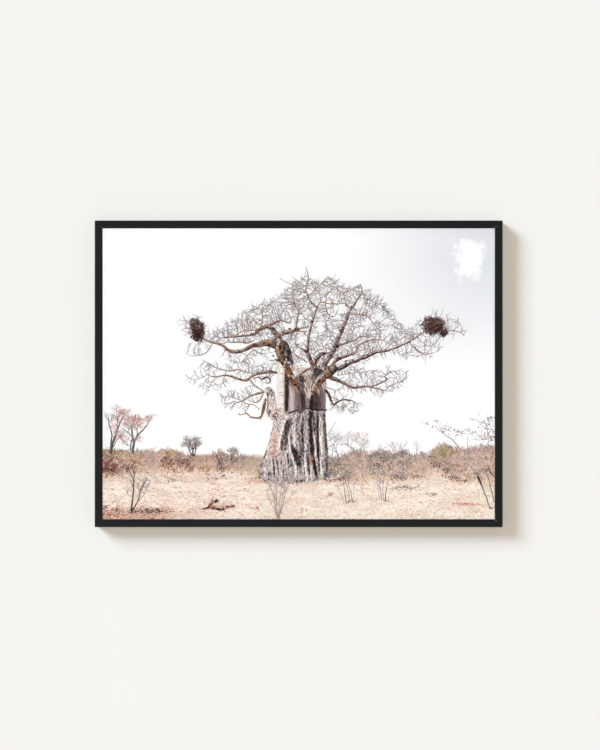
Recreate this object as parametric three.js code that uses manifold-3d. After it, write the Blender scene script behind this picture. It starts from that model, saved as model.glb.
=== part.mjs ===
// A slim black wooden picture frame, hung level on a wall, that holds a landscape print.
// Millimetres. +X runs to the viewer's right, +Z up, and the picture faces -Y.
// The wall is the plane y = 0. The origin is the middle of the top rail's back face.
import * as THREE from "three";
import Module from "manifold-3d";
import { mergeVertices } from "three/addons/utils/BufferGeometryUtils.js";

// ---- Driving dimensions ----
const OUTER_WIDTH = 624;
const OUTER_HEIGHT = 469;
const RAIL_FACE = 12; // width of the black border seen from the front
const RAIL_DEPTH = 25; // front of the frame to the wall
const RAIL_WALL = 7; // thickness of the rail behind its lip
const LIP_THICKNESS = 2; // the lip that holds the glazing in
const EASED_EDGE = 0.7; // the small flat on each front edge
const MITRE_GAP = 0.1; // each rail stops this far short of the mitre plane
const SHEET_CLEARANCE = 1; // round the glazing, print and board
const LAYER_GAP = 0.15; // between one layer of the stack and the next
const GLAZING_THICKNESS = 1.2;
const PRINT_THICKNESS = 1.5;
const BOARD_THICKNESS = 3;

const TAB = {
  width: 9,
  thickness: 0.8,
  reach: 9, // length that lies over the board
  bite: 4.5, // length inside the rail
  play: 0.3, // between the tab and its slit
  cornerRadius: 2.5,
};
const TAB_SPREAD = 0.94; // share of a rail's length that its tabs are dealt out over
const LONG_RAIL_TABS = 4;
const SHORT_RAIL_TABS = 2;

const HANGER = {
  length: 46,
  height: 10,
  sheet: 0.8,
  foot: 9, // flat length at each end, where the rivet goes
  rise: 2, // how far the toothed middle stands off the board
  slope: 2.5, // run of the bend between foot and middle
  teeth: 11,
  toothDepth: 1.6,
  fromCentre: 190, // sideways, from the frame's middle
  belowTop: 42, // from the frame's top edge to the hanger's middle
};
const RIVET = {
  headRadius: 2.6,
  headHeight: 1.1,
  rim: 0.3, // share of the head's height that is its straight rim
  holeRadius: 1.7,
  shankRadius: 1.3,
  domeSteps: 4,
};

const CUTTER_SPARE = 1; // how far a cutting shape reaches past what it cuts

// ---- Levels and edges worked out from them ----
const TOP = RAIL_WALL / 2; // the origin is half-way up the top rail's back face
const MIDDLE = TOP - OUTER_HEIGHT / 2;
const LIP_BACK = -RAIL_DEPTH + LIP_THICKNESS;
const POCKET_WIDTH = OUTER_WIDTH - 2 * RAIL_WALL;
const POCKET_HEIGHT = OUTER_HEIGHT - 2 * RAIL_WALL;
const GLAZING_FRONT = LIP_BACK + LAYER_GAP;
const PRINT_FRONT = GLAZING_FRONT + GLAZING_THICKNESS + LAYER_GAP;
const BOARD_FRONT = PRINT_FRONT + PRINT_THICKNESS + LAYER_GAP;
const BOARD_BACK = BOARD_FRONT + BOARD_THICKNESS;

const wasm = await Module();
wasm.setup();

// A closed three.js geometry as a manifold-3d solid.
function solidOf(geometry) {
  const bare = geometry.clone();
  bare.deleteAttribute("normal");
  bare.deleteAttribute("uv");
  const merged = mergeVertices(bare, 1e-4);
  return new wasm.Manifold(
    new wasm.Mesh({
      numProp: 3,
      vertProperties: merged.attributes.position.array,
      triVerts: new Uint32Array(merged.index.array),
    }),
  );
}

// A manifold-3d solid as a three.js geometry.
function geometryOf(solid) {
  const { vertProperties, triVerts } = solid.getMesh();
  const geometry = new THREE.BufferGeometry();
  geometry.setAttribute("position", new THREE.BufferAttribute(vertProperties, 3));
  geometry.setIndex(new THREE.BufferAttribute(triVerts, 1));
  geometry.computeVertexNormals();
  return geometry;
}

const finish = (color, roughness, metalness = 0) =>
  new THREE.MeshStandardMaterial({ color, roughness, metalness });

const FINISHES = {
  blackWood: finish(0x242424, 0.55),
  acrylic: finish(0xf4f7f8, 0.05),
  printPaper: finish(0xf2efea, 0.8),
  hardboard: finish(0x7a5a3c, 0.85),
  zincSteel: finish(0xa9abad, 0.4, 0.9),
  brassedSteel: finish(0xb59a5a, 0.35, 0.9),
};
FINISHES.acrylic.transparent = true;
FINISHES.acrylic.opacity = 0.1;

const frame = new THREE.Group();
frame.name = "framed_print";

function addPiece(name, geometry, material, parent = frame) {
  const piece = new THREE.Mesh(geometry, material);
  piece.name = name;
  parent.add(piece);
  return piece;
}

// ---- The four rails ----
// A rail is modelled lying along X with its outer side up.
// Its section is an L: a deep outer wall and a thin lip across the front.
// The section's x runs from the outer side inwards, and its y is the depth.
function railSection() {
  const section = new THREE.Shape();
  const front = -RAIL_DEPTH;
  section.moveTo(0, 0);
  section.lineTo(0, front + EASED_EDGE);
  section.lineTo(EASED_EDGE, front);
  section.lineTo(RAIL_FACE - EASED_EDGE, front);
  section.lineTo(RAIL_FACE, front + EASED_EDGE);
  section.lineTo(RAIL_FACE, LIP_BACK);
  section.lineTo(RAIL_WALL, LIP_BACK);
  section.lineTo(RAIL_WALL, 0);
  section.closePath();
  return section;
}

// The section is swept along the rail. Each end is then drawn in by the distance from the
// outer side, which makes the 45 degree mitre.
function railGeometry(length, tabPlaces) {
  const swept = new THREE.ExtrudeGeometry(railSection(), { depth: 1, bevelEnabled: false });
  const place = swept.attributes.position;
  for (let i = 0; i < place.count; i += 1) {
    const inwards = place.getX(i);
    const depth = place.getY(i);
    const side = place.getZ(i) > 0.5 ? 1 : -1;
    place.setXYZ(i, side * (length / 2 - inwards - MITRE_GAP), depth, -inwards);
  }
  let rail = solidOf(swept);
  if (rail.volume() < 0) throw new Error("rail section runs the wrong way round");
  for (const along of tabPlaces) {
    const slit = new THREE.BoxGeometry(
      TAB.width + 2 * TAB.play,
      TAB.thickness + 2 * TAB.play,
      TAB.bite + 2 * TAB.play,
    );
    slit.translate(along, tabLevel(), -RAIL_WALL + TAB.bite / 2);
    rail = rail.subtract(solidOf(slit));
  }
  return geometryOf(rail);
}

// ---- Steel tabs that hold the board in ----
// Each one is driven into a slit in the rail's inner side and lies over the board's edge.
function tabLevel() {
  return BOARD_BACK + LAYER_GAP + TAB.thickness / 2;
}

function tabGeometry() {
  const half = TAB.width / 2;
  const { cornerRadius } = TAB;
  const outline = new THREE.Shape();
  outline.moveTo(-half, 0);
  outline.lineTo(half, 0);
  outline.lineTo(half, TAB.bite + TAB.reach - cornerRadius);
  outline.absarc(
    half - cornerRadius, TAB.bite + TAB.reach - cornerRadius, cornerRadius, 0, Math.PI / 2,
  );
  outline.absarc(
    -half + cornerRadius, TAB.bite + TAB.reach - cornerRadius, cornerRadius, Math.PI / 2, Math.PI,
  );
  outline.closePath();
  const tab = new THREE.ExtrudeGeometry(outline, {
    depth: TAB.thickness,
    bevelEnabled: false,
    curveSegments: 5,
  });
  tab.rotateX(-Math.PI / 2); // the length now runs down from inside the wall, the thickness along Y
  return tab;
}

function evenPlaces(count, span) {
  return Array.from({ length: count }, (_, i) => ((i + 0.5) / count - 0.5) * span);
}

// Each side of the frame is one group, turned so that its outer side faces away from the middle.
const SIDES = [
  { name: "top", turn: 0, length: OUTER_WIDTH, across: OUTER_HEIGHT, tabs: LONG_RAIL_TABS },
  { name: "right", turn: 1, length: OUTER_HEIGHT, across: OUTER_WIDTH, tabs: SHORT_RAIL_TABS },
  { name: "bottom", turn: 2, length: OUTER_WIDTH, across: OUTER_HEIGHT, tabs: LONG_RAIL_TABS },
  { name: "left", turn: 3, length: OUTER_HEIGHT, across: OUTER_WIDTH, tabs: SHORT_RAIL_TABS },
];
for (const side of SIDES) {
  const group = new THREE.Group();
  group.position.set(0, 0, MIDDLE);
  group.rotation.y = (side.turn * Math.PI) / 2;
  frame.add(group);
  const tabPlaces = evenPlaces(side.tabs, side.length * TAB_SPREAD);
  const rail = addPiece(
    `rail_${side.name}`, railGeometry(side.length, tabPlaces), FINISHES.blackWood, group,
  );
  rail.position.z = side.across / 2;
  tabPlaces.forEach((along, i) => {
    const tab = addPiece(`tab_${side.name}_${i + 1}`, tabGeometry(), FINISHES.zincSteel, group);
    const root = side.across / 2 - RAIL_WALL + TAB.bite;
    tab.position.set(along, tabLevel() - TAB.thickness / 2, root);
  });
}

// ---- The stack inside the frame: glazing, print and backing board ----
function addSheet(name, front, thickness, material) {
  const sheet = addPiece(
    name,
    new THREE.BoxGeometry(
      POCKET_WIDTH - 2 * SHEET_CLEARANCE, thickness, POCKET_HEIGHT - 2 * SHEET_CLEARANCE,
    ),
    material,
  );
  sheet.position.set(0, front + thickness / 2, MIDDLE);
}
addSheet("glazing", GLAZING_FRONT, GLAZING_THICKNESS, FINISHES.acrylic);
addSheet("print", PRINT_FRONT, PRINT_THICKNESS, FINISHES.printPaper);
addSheet("backing_board", BOARD_FRONT, BOARD_THICKNESS, FINISHES.hardboard);

// ---- Two sawtooth hangers riveted to the board ----
// A bent steel strip: flat feet at the ends, and a middle that stands off the board with teeth
// along its lower edge. The strip is the bent side view cut to the toothed front view.
function hangerGeometry() {
  const half = HANGER.length / 2;
  const bendStart = half - HANGER.foot;
  const bendEnd = bendStart - HANGER.slope;
  const sideView = new THREE.Shape();
  const lower = [[-half, 0], [-bendStart, 0], [-bendEnd, HANGER.rise]];
  const strip = [...lower, ...lower.map(([x, y]) => [-x, y]).reverse()];
  strip.forEach(([x, y], i) => (i ? sideView.lineTo(x, y) : sideView.moveTo(x, y)));
  [...strip].reverse().forEach(([x, y]) => sideView.lineTo(x, y + HANGER.sheet));
  sideView.closePath();
  const bent = new THREE.ExtrudeGeometry(sideView, { depth: HANGER.height, bevelEnabled: false });
  bent.translate(0, 0, -HANGER.height / 2);

  const up = HANGER.height / 2;
  const frontView = new THREE.Shape();
  const toothRun = 2 * bendEnd;
  frontView.moveTo(-half + up, -up);
  for (let i = 0; i < HANGER.teeth; i += 1) {
    const x = -bendEnd + (i / HANGER.teeth) * toothRun;
    frontView.lineTo(x, -up);
    frontView.lineTo(x + toothRun / HANGER.teeth / 2, -up + HANGER.toothDepth);
  }
  frontView.lineTo(bendEnd, -up);
  frontView.lineTo(half - up, -up);
  frontView.absarc(half - up, 0, up, -Math.PI / 2, Math.PI / 2);
  frontView.absarc(-half + up, 0, up, Math.PI / 2, (3 * Math.PI) / 2);
  for (const side of [-1, 1]) {
    const hole = new THREE.Path();
    hole.absarc(side * (half - up), 0, RIVET.holeRadius, 0, 2 * Math.PI);
    frontView.holes.push(hole);
  }
  const thick = HANGER.rise + HANGER.sheet + 2 * CUTTER_SPARE;
  const flat = new THREE.ExtrudeGeometry(frontView, {
    depth: thick,
    bevelEnabled: false,
    curveSegments: 10,
  });
  flat.rotateX(Math.PI / 2);
  flat.translate(0, thick - CUTTER_SPARE, 0);
  return geometryOf(solidOf(bent).intersect(solidOf(flat)));
}

function rivetGeometry() {
  const { headRadius, headHeight, rim, shankRadius, domeSteps } = RIVET;
  const footLevel = HANGER.sheet + LAYER_GAP;
  const dome = Array.from({ length: domeSteps + 1 }, (_, i) => {
    const angle = (i / domeSteps) * (Math.PI / 2);
    return new THREE.Vector2(
      i === domeSteps ? 0 : headRadius * Math.cos(angle),
      footLevel + headHeight * (rim + (1 - rim) * Math.sin(angle)),
    );
  });
  return new THREE.LatheGeometry(
    [
      new THREE.Vector2(0, 0),
      new THREE.Vector2(shankRadius, 0),
      new THREE.Vector2(shankRadius, footLevel),
      new THREE.Vector2(headRadius, footLevel),
      ...dome,
    ],
    20,
  );
}

for (const [name, side] of [["left", -1], ["right", 1]]) {
  const group = new THREE.Group();
  group.position.set(
    side * HANGER.fromCentre, BOARD_BACK + LAYER_GAP, TOP - HANGER.belowTop,
  );
  frame.add(group);
  addPiece(`hanger_${name}`, hangerGeometry(), FINISHES.brassedSteel, group);
  for (const [end, way] of [["outer", side], ["inner", -side]]) {
    const rivet = addPiece(`rivet_${name}_${end}`, rivetGeometry(), FINISHES.zincSteel, group);
    rivet.position.x = way * (HANGER.length / 2 - HANGER.height / 2);
  }
}

export default frame;
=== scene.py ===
import math
import random

import bmesh
import bpy
import numpy as np
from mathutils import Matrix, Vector


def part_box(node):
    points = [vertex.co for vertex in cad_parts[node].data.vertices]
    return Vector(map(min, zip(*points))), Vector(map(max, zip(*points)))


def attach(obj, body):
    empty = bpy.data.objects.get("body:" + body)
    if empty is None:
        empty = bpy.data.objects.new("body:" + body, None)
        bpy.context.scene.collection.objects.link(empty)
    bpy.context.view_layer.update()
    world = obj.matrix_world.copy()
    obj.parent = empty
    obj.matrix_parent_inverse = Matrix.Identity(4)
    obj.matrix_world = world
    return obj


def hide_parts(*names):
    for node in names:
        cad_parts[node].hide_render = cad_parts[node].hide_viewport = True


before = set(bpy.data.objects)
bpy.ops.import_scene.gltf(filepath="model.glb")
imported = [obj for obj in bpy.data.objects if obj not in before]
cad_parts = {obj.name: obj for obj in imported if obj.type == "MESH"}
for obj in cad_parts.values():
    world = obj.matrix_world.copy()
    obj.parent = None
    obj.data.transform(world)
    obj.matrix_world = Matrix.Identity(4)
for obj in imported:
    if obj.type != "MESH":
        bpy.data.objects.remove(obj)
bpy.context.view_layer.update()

# ---- Where it hangs: the wall and the floor ----
# A plain off-white plaster wall right behind the frame, and a pale floor well below it.
# The wall is open from behind and lets lamps through, so the back of the frame can be seen too.
MM = 0.001
WALL_GAP = 0.3 * MM
WALL_HALF_WIDTH = 1.3
WALL_TOP = 1.0
FLOOR_LEVEL = -1.25
FLOOR_REACH = 4.0


def paint(code, strength=1.0):
    """A colour from its red, green and blue hex pairs, as a shader socket takes it."""
    parts = [int(code[i : i + 2], 16) / 255 for i in (0, 2, 4)]
    linear = [p / 12.92 if p <= 0.04045 else ((p + 0.055) / 1.055) ** 2.4 for p in parts]
    return (*[min(1.0, p * strength) for p in linear], 1.0)


def add_node(tree, kind, inputs=None, **settings):
    """One shader node, with each input set to a value or linked to another node's socket."""
    made = tree.nodes.new(kind)
    for setting, value in settings.items():
        setattr(made, setting, value)
    for socket, value in (inputs or {}).items():
        if isinstance(value, bpy.types.NodeSocket):
            tree.links.new(value, made.inputs[socket])
        else:
            made.inputs[socket].default_value = value
    return made


def new_material(name, values):
    """A material with one Principled shader whose plain values are set on its own sockets."""
    material = bpy.data.materials.new(name)
    material.use_nodes = True
    shader = material.node_tree.nodes["Principled BSDF"]
    for socket, value in values.items():
        shader.inputs[socket].default_value = value
    return material, material.node_tree, shader


def new_group(name, inputs, outputs):
    """A node group with these named sockets, and its input and output nodes."""
    group = bpy.data.node_groups.new(name, "ShaderNodeTree")
    for label, kind, value in inputs:
        socket = group.interface.new_socket(name=label, in_out="INPUT", socket_type=kind)
        if value is not None:
            socket.default_value = value
    for label, kind in outputs:
        group.interface.new_socket(name=label, in_out="OUTPUT", socket_type=kind)
    return group, group.nodes.new("NodeGroupInput"), group.nodes.new("NodeGroupOutput")


def place_group(tree, group, inputs):
    """A node group placed in a material with its own values."""
    return add_node(tree, "ShaderNodeGroup", inputs, node_tree=group)


def blend_paint(tree, mask, under, over):
    """One colour laid over another through a mask."""
    values = {"Factor": mask, 6: under, 7: over}
    return add_node(tree, "ShaderNodeMix", values, data_type="RGBA").outputs[2]


def rescaled(tree, value, start, end, low=0.0, high=1.0, run="LINEAR"):
    """A mask that goes from low at one value to high at another."""
    values = {"Value": value, "From Min": start, "From Max": end, "To Min": low, "To Max": high}
    return add_node(tree, "ShaderNodeMapRange", values, interpolation_type=run).outputs[0]


def smooth_step(tree, value, start, end):
    """A mask that rises smoothly from 0 at start to 1 at end."""
    return rescaled(tree, value, start, end, run="SMOOTHSTEP")


def sum_of(tree, operation, *values):
    """One sum on masks or sizes."""
    return add_node(tree, "ShaderNodeMath", dict(enumerate(values)), operation=operation).outputs[0]


def dress(tree, node, sockets):
    """Links masks, colours and normals to a shader's or a group output's own sockets."""
    for socket, value in sockets.items():
        tree.links.new(value, node.inputs[socket])


def show(made):
    """Puts an object in the scene, and gives it back."""
    bpy.context.scene.collection.objects.link(made)
    return made


def object_place(tree):
    """Where a point lies on its own object."""
    return add_node(tree, "ShaderNodeTexCoord").outputs["Object"]


def flat_sheet(name, corners, material):
    """A stage sheet with four corners, listed anticlockwise from the side that shows."""
    mesh = bpy.data.meshes.new(name)
    mesh.from_pydata(corners, [], [(0, 1, 2, 3)])
    mesh.materials.append(material)
    sheet = show(bpy.data.objects.new(name, mesh))
    return sheet


# Mottle: a soft uneven field, and the bump that goes with it, at a size in metres.
mottle, mottle_in, mottle_out = new_group(
    "mottle",
    [
        ("Place", "NodeSocketVector", None),
        ("Size", "NodeSocketFloat", 0.05),
        ("Roughness", "NodeSocketFloat", 0.6),
        ("Relief", "NodeSocketFloat", 0.0),
    ],
    [("Mask", "NodeSocketFloat"), ("Normal", "NodeSocketVector")],
)
per_metre = sum_of(mottle, "DIVIDE", 1.0, mottle_in.outputs["Size"])
mottle_noise = add_node(
    mottle,
    "ShaderNodeTexNoise",
    {
        "Vector": mottle_in.outputs["Place"],
        "Scale": per_metre,
        "Detail": 5.0,
        "Roughness": mottle_in.outputs["Roughness"],
    },
)
mottle_bump = add_node(
    mottle,
    "ShaderNodeBump",
    {
        "Height": mottle_noise.outputs["Fac"],
        "Distance": mottle_in.outputs["Relief"],
        "Strength": 1.0,
    },
)
mottle_made = {"Mask": mottle_noise.outputs["Fac"], "Normal": mottle_bump.outputs["Normal"]}
dress(mottle, mottle_out, mottle_made)

plaster, tree, shader = new_material("wall_plaster", {"Roughness": 0.9, "Specular IOR Level": 0.2})
place = object_place(tree)
cloudy = place_group(tree, mottle, {"Place": place, "Size": 0.35, "Relief": 0.0012})
plaster_tint = blend_paint(tree, cloudy.outputs["Mask"], paint("eceae5"), paint("efeeeb"))
dress(tree, shader, {"Base Color": plaster_tint, "Normal": cloudy.outputs["Normal"]})
rays = add_node(tree, "ShaderNodeLightPath")
facing = add_node(tree, "ShaderNodeNewGeometry")
let_through = sum_of(tree, "MAXIMUM", rays.outputs["Is Shadow Ray"], facing.outputs["Backfacing"])
clear = add_node(tree, "ShaderNodeBsdfTransparent")
wall_mix = add_node(
    tree,
    "ShaderNodeMixShader",
    {0: let_through, 1: shader.outputs[0], 2: clear.outputs[0]},
)
dress(tree, tree.nodes["Material Output"], {"Surface": wall_mix.outputs[0]})

floor_paint, tree, shader = new_material("floor_paint", {"Roughness": 0.8})
place = object_place(tree)
floor_cloud = place_group(tree, mottle, {"Place": place, "Size": 0.6})
floor_tint = blend_paint(tree, floor_cloud.outputs["Mask"], paint("dedbd5"), paint("e8e6e1"))
dress(tree, shader, {"Base Color": floor_tint})

wall_corners = [
    (-WALL_HALF_WIDTH, WALL_GAP, FLOOR_LEVEL),
    (WALL_HALF_WIDTH, WALL_GAP, FLOOR_LEVEL),
    (WALL_HALF_WIDTH, WALL_GAP, WALL_TOP),
    (-WALL_HALF_WIDTH, WALL_GAP, WALL_TOP),
]
floor_corners = [
    (x * FLOOR_REACH, y * FLOOR_REACH, FLOOR_LEVEL) for x, y in ((-1, -1), (1, -1), (1, 1), (-1, 1))
]
flat_sheet("wall", wall_corners, plaster)
floor = flat_sheet("floor", floor_corners, floor_paint)
floor.visible_diffuse = False  # so that the wall is as bright below the frame as above it
floor.visible_shadow = False

# ---- Camera and studio light ----
# A long lens square on to the picture. One big soft key from the upper left throws the frame's
# shadow right and down, the whole room fills it, and two panels behind light the back.
VIEW_HEIGHT = 1.147  # metres of wall from the top of the view to its foot
CAMERA_DISTANCE = 3.4
FILM = 36.0
LOOK_RIGHT = 2.0 * MM
LOOK_DOWN = 1.8 * MM
rails = ["rail_top", "rail_right", "rail_bottom", "rail_left"]
outer_low = Vector([min(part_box(rail)[0][i] for rail in rails) for i in range(3)])
outer_high = Vector([max(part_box(rail)[1][i] for rail in rails) for i in range(3)])
middle = (outer_low + outer_high) / 2

camera = bpy.data.objects.new("camera", bpy.data.cameras.new("camera"))
camera.data.lens = FILM * CAMERA_DISTANCE / VIEW_HEIGHT
camera.data.sensor_width = FILM
camera.data.clip_end = 50.0
camera.location = (LOOK_RIGHT, outer_low.y - CAMERA_DISTANCE, middle.z - LOOK_DOWN)
camera.rotation_euler = (math.radians(90), 0, 0)
show(camera)
bpy.context.scene.camera = camera

SHADOW_RIGHT = 1.35  # how far a shadow moves right for each unit of depth
SHADOW_DOWN = 0.97
KEY_POWER, KEY_SOFTNESS, KEY_TINT = 3.27, 0.42, (0.743, 0.856, 1.0)
FILL_POWER, FILL_SOFTNESS, FILL_TINT = 1.29, 0.35, (1.0, 0.898, 0.776)
PANEL_SIZE, PANEL_ACROSS, PANEL_BEHIND, PANEL_UP = 1.4, 1.5, 1.9, 0.5
key = bpy.data.objects.new("key", bpy.data.lights.new("key", "SUN"))
key.data.energy = KEY_POWER
key.data.angle = KEY_SOFTNESS
key.data.color = KEY_TINT
key.rotation_euler = Vector((SHADOW_RIGHT, 1.0, -SHADOW_DOWN)).to_track_quat("-Z", "Y").to_euler()
show(key)

front_fill = bpy.data.objects.new("front_fill", bpy.data.lights.new("front_fill", "SUN"))
front_fill.data.energy = FILL_POWER
front_fill.data.angle = FILL_SOFTNESS
front_fill.data.color = FILL_TINT
front_fill.rotation_euler = (math.radians(90), 0, 0)
front_fill.visible_glossy = False
show(front_fill)

for side, across, power in (("left", -PANEL_ACROSS, 26.0), ("right", PANEL_ACROSS, 18.0)):
    panel = bpy.data.objects.new(f"back_panel_{side}", bpy.data.lights.new("back_panel", "AREA"))
    panel.data.energy = power
    panel.data.size = PANEL_SIZE
    panel.location = (across, PANEL_BEHIND, PANEL_UP)
    aim = middle - Vector(panel.location)
    panel.rotation_euler = aim.to_track_quat("-Z", "Y").to_euler()
    show(panel)

room = bpy.data.worlds.new("room")
room.use_nodes = True
bpy.context.scene.world = room
room_tree = room.node_tree
seen = add_node(room_tree, "ShaderNodeLightPath").outputs["Is Camera Ray"]
room_tint = blend_paint(room_tree, seen, (0.285, 0.264, 0.241, 1.0), (0.82, 0.81, 0.79, 1.0))
dress(room_tree, room_tree.nodes["Background"], {"Color": room_tint})
bpy.context.scene.view_settings.view_transform = "Standard"

# ---- The four rails ----
# Slim hardwood moulding with a square face, stained black, with open grain under a satin coat.
# The corners are mitred and glued, and every arris is eased and a little rubbed.
ARRIS_RADIUS = 0.35 * MM
WELD = 1e-6  # corners nearer than this, in metres, are one corner
FLAT_WITHIN = math.radians(1)  # faces that meet at less than this are one flat face
SHARP_FROM = math.radians(24)  # edges that turn more than this are rounded


def softened_copy(node, name, radius, steps=3):
    """A CAD node's shape with flat faces merged and its edges rounded, marked where it is worn."""
    shape = bmesh.new()
    shape.from_mesh(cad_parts[node].data)
    bmesh.ops.remove_doubles(shape, verts=shape.verts, dist=WELD)
    bmesh.ops.dissolve_limit(shape, angle_limit=FLAT_WITHIN, verts=shape.verts, edges=shape.edges)
    worn = shape.faces.layers.float.new("worn")
    sharp = [e for e in shape.edges if len(e.link_faces) == 2 and e.calc_face_angle() > SHARP_FROM]
    rounded = bmesh.ops.bevel(
        shape, geom=sharp, offset=radius, segments=steps, profile=0.5, affect="EDGES",
        clamp_overlap=True,
    )
    for face in rounded["faces"]:
        face[worn] = 1.0
    mesh = bpy.data.meshes.new(name)
    shape.to_mesh(mesh)
    shape.free()
    for polygon in mesh.polygons:
        polygon.use_smooth = True
    piece = show(bpy.data.objects.new(name, mesh))
    weighted = piece.modifiers.new("weighted", "WEIGHTED_NORMAL")
    weighted.keep_sharp = True
    bpy.context.view_layer.update()
    seen_by = bpy.context.evaluated_depsgraph_get()
    piece.data = bpy.data.meshes.new_from_object(piece.evaluated_get(seen_by))
    piece.modifiers.clear()
    return piece


def stand_for(piece, node, material):
    """Gives a piece its material, hangs it on the root body and hides the CAD node that it stands for."""
    piece.data.materials.clear()
    piece.data.materials.append(material)
    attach(piece, "root")
    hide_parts(node)


# Edge wear: how far an edge that is marked worn has rubbed through, patchily.
edge_wear, wear_in, wear_out = new_group(
    "edge wear",
    [
        ("Place", "NodeSocketVector", None),
        ("Worn", "NodeSocketFloat", 0.0),
        ("Patch Size", "NodeSocketFloat", 0.01),
        ("Amount", "NodeSocketFloat", 0.5),
    ],
    [("Mask", "NodeSocketFloat")],
)
wear_scale = sum_of(edge_wear, "DIVIDE", 1.0, wear_in.outputs["Patch Size"])
wear_noise = add_node(
    edge_wear,
    "ShaderNodeTexNoise",
    {"Vector": wear_in.outputs["Place"], "Scale": wear_scale, "Detail": 6.0},
)
wear_patches = rescaled(edge_wear, wear_noise.outputs["Fac"], 0.45, 0.65)
wear_here = sum_of(edge_wear, "MULTIPLY", wear_patches, wear_in.outputs["Worn"])
wear_mask = sum_of(edge_wear, "MULTIPLY", wear_here, wear_in.outputs["Amount"])
dress(edge_wear, wear_out, {"Mask": wear_mask})

# Open grain: long fine pores along the first axis of Place, as a mask and as a bump.
open_grain, grain_in, grain_out = new_group(
    "open grain",
    [
        ("Place", "NodeSocketVector", None),
        ("Pore Length", "NodeSocketFloat", 0.03),
        ("Pore Width", "NodeSocketFloat", 0.0006),
        ("Depth", "NodeSocketFloat", 0.00008),
    ],
    [("Pores", "NodeSocketFloat"), ("Figure", "NodeSocketFloat"), ("Normal", "NodeSocketVector")],
)
pore_size = add_node(
    open_grain,
    "ShaderNodeCombineXYZ",
    {
        "X": grain_in.outputs["Pore Length"],
        "Y": grain_in.outputs["Pore Width"],
        "Z": grain_in.outputs["Pore Width"],
    },
)
pore_place = add_node(
    open_grain,
    "ShaderNodeVectorMath",
    {0: grain_in.outputs["Place"], 1: pore_size.outputs[0]},
    operation="DIVIDE",
)
pore_noise = add_node(
    open_grain, "ShaderNodeTexNoise", {"Vector": pore_place.outputs[0], "Scale": 1.0, "Detail": 3.0}
)
pores = rescaled(open_grain, pore_noise.outputs["Fac"], 0.5, 0.66)
figure_place = add_node(
    open_grain,
    "ShaderNodeVectorMath",
    {0: pore_place.outputs[0], 1: (0.25, 0.12, 0.12)},
    operation="MULTIPLY",
)
figure_noise = add_node(
    open_grain,
    "ShaderNodeTexNoise",
    {"Vector": figure_place.outputs[0], "Scale": 1.0, "Detail": 2.0, "Distortion": 0.6},
)
pore_bump = add_node(
    open_grain,
    "ShaderNodeBump",
    {"Height": pores, "Distance": grain_in.outputs["Depth"], "Strength": 1.0},
    invert=True,
)
dress(open_grain, grain_out, {
    "Pores": pores, "Figure": figure_noise.outputs["Fac"], "Normal": pore_bump.outputs["Normal"],
})

black_wood, tree, shader = new_material(
    "black_stained_wood", {"Specular IOR Level": 0.3, "Coat Roughness": 0.35, "IOR": 1.5}
)
grain_place = add_node(tree, "ShaderNodeAttribute", attribute_name="grain_place").outputs["Vector"]
worn_here = add_node(tree, "ShaderNodeAttribute", attribute_name="worn").outputs["Fac"]
grain = place_group(tree, open_grain, {"Place": grain_place})
rubbed = place_group(
    tree, edge_wear, {"Place": grain_place, "Worn": worn_here, "Patch Size": 0.03, "Amount": 0.45}
)
stain = blend_paint(tree, grain.outputs["Figure"], paint("0e0d0d"), paint("161515"))
stain_pored = blend_paint(tree, grain.outputs["Pores"], stain, paint("080707"))
stain_worn = blend_paint(tree, rubbed.outputs["Mask"], stain_pored, paint("3c3733"))
satin = rescaled(tree, grain.outputs["Figure"], 0.3, 0.7, 0.42, 0.56)
dress(tree, shader, {"Base Color": stain_worn, "Roughness": satin, "Normal": grain.outputs["Normal"]})

rail_pieces = []
for number, rail in enumerate(rails):
    piece = softened_copy(rail, f"{rail}_moulding", ARRIS_RADIUS)
    along, across = (0, 2) if rail in ("rail_top", "rail_bottom") else (2, 0)
    grain_attribute = piece.data.attributes.new("grain_place", "FLOAT_VECTOR", "POINT")
    for i, vertex in enumerate(piece.data.vertices):
        grain_attribute.data[i].vector = (vertex.co[along] + number, vertex.co[across], vertex.co.y)
    stand_for(piece, rail, black_wood)
    rail_pieces.append(piece)

# ---- Corner nails ----
# A thin zigzag strip of steel is pressed across each mitre from behind, which holds the glued
# joint together. Only its edge shows, flush with the back of the rails.
NAIL_WAVES = 3
NAIL_WIDTH = 4.6 * MM
NAIL_SWING = 0.9 * MM
NAIL_SHEET = 0.35 * MM
NAIL_SUNK = 2.0 * MM
NAIL_PROUD = 0.05 * MM
NAIL_PLACE = 0.62  # of the rail's width from its outer corner

zinc, tree, shader = new_material("zinc_plated_steel", {"Metallic": 1.0, "Roughness": 0.35})
place = object_place(tree)
spangle = place_group(tree, mottle, {"Place": place, "Size": 0.004, "Roughness": 0.7, "Relief": 0.00003})
worn_here = add_node(tree, "ShaderNodeAttribute", attribute_name="worn").outputs["Fac"]
zinc_edge = place_group(
    tree, edge_wear, {"Place": place, "Worn": worn_here, "Patch Size": 0.003, "Amount": 0.7}
)
zinc_tint = blend_paint(tree, spangle.outputs["Mask"], paint("8d9094"), paint("c3c5c7"))
zinc_bright = blend_paint(tree, zinc_edge.outputs["Mask"], zinc_tint, paint("e2e3e4"))
zinc_dull = rescaled(tree, spangle.outputs["Mask"], 0.3, 0.7, 0.28, 0.46)
dress(tree, shader, {
    "Base Color": zinc_bright, "Roughness": zinc_dull, "Normal": spangle.outputs["Normal"],
})

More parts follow.
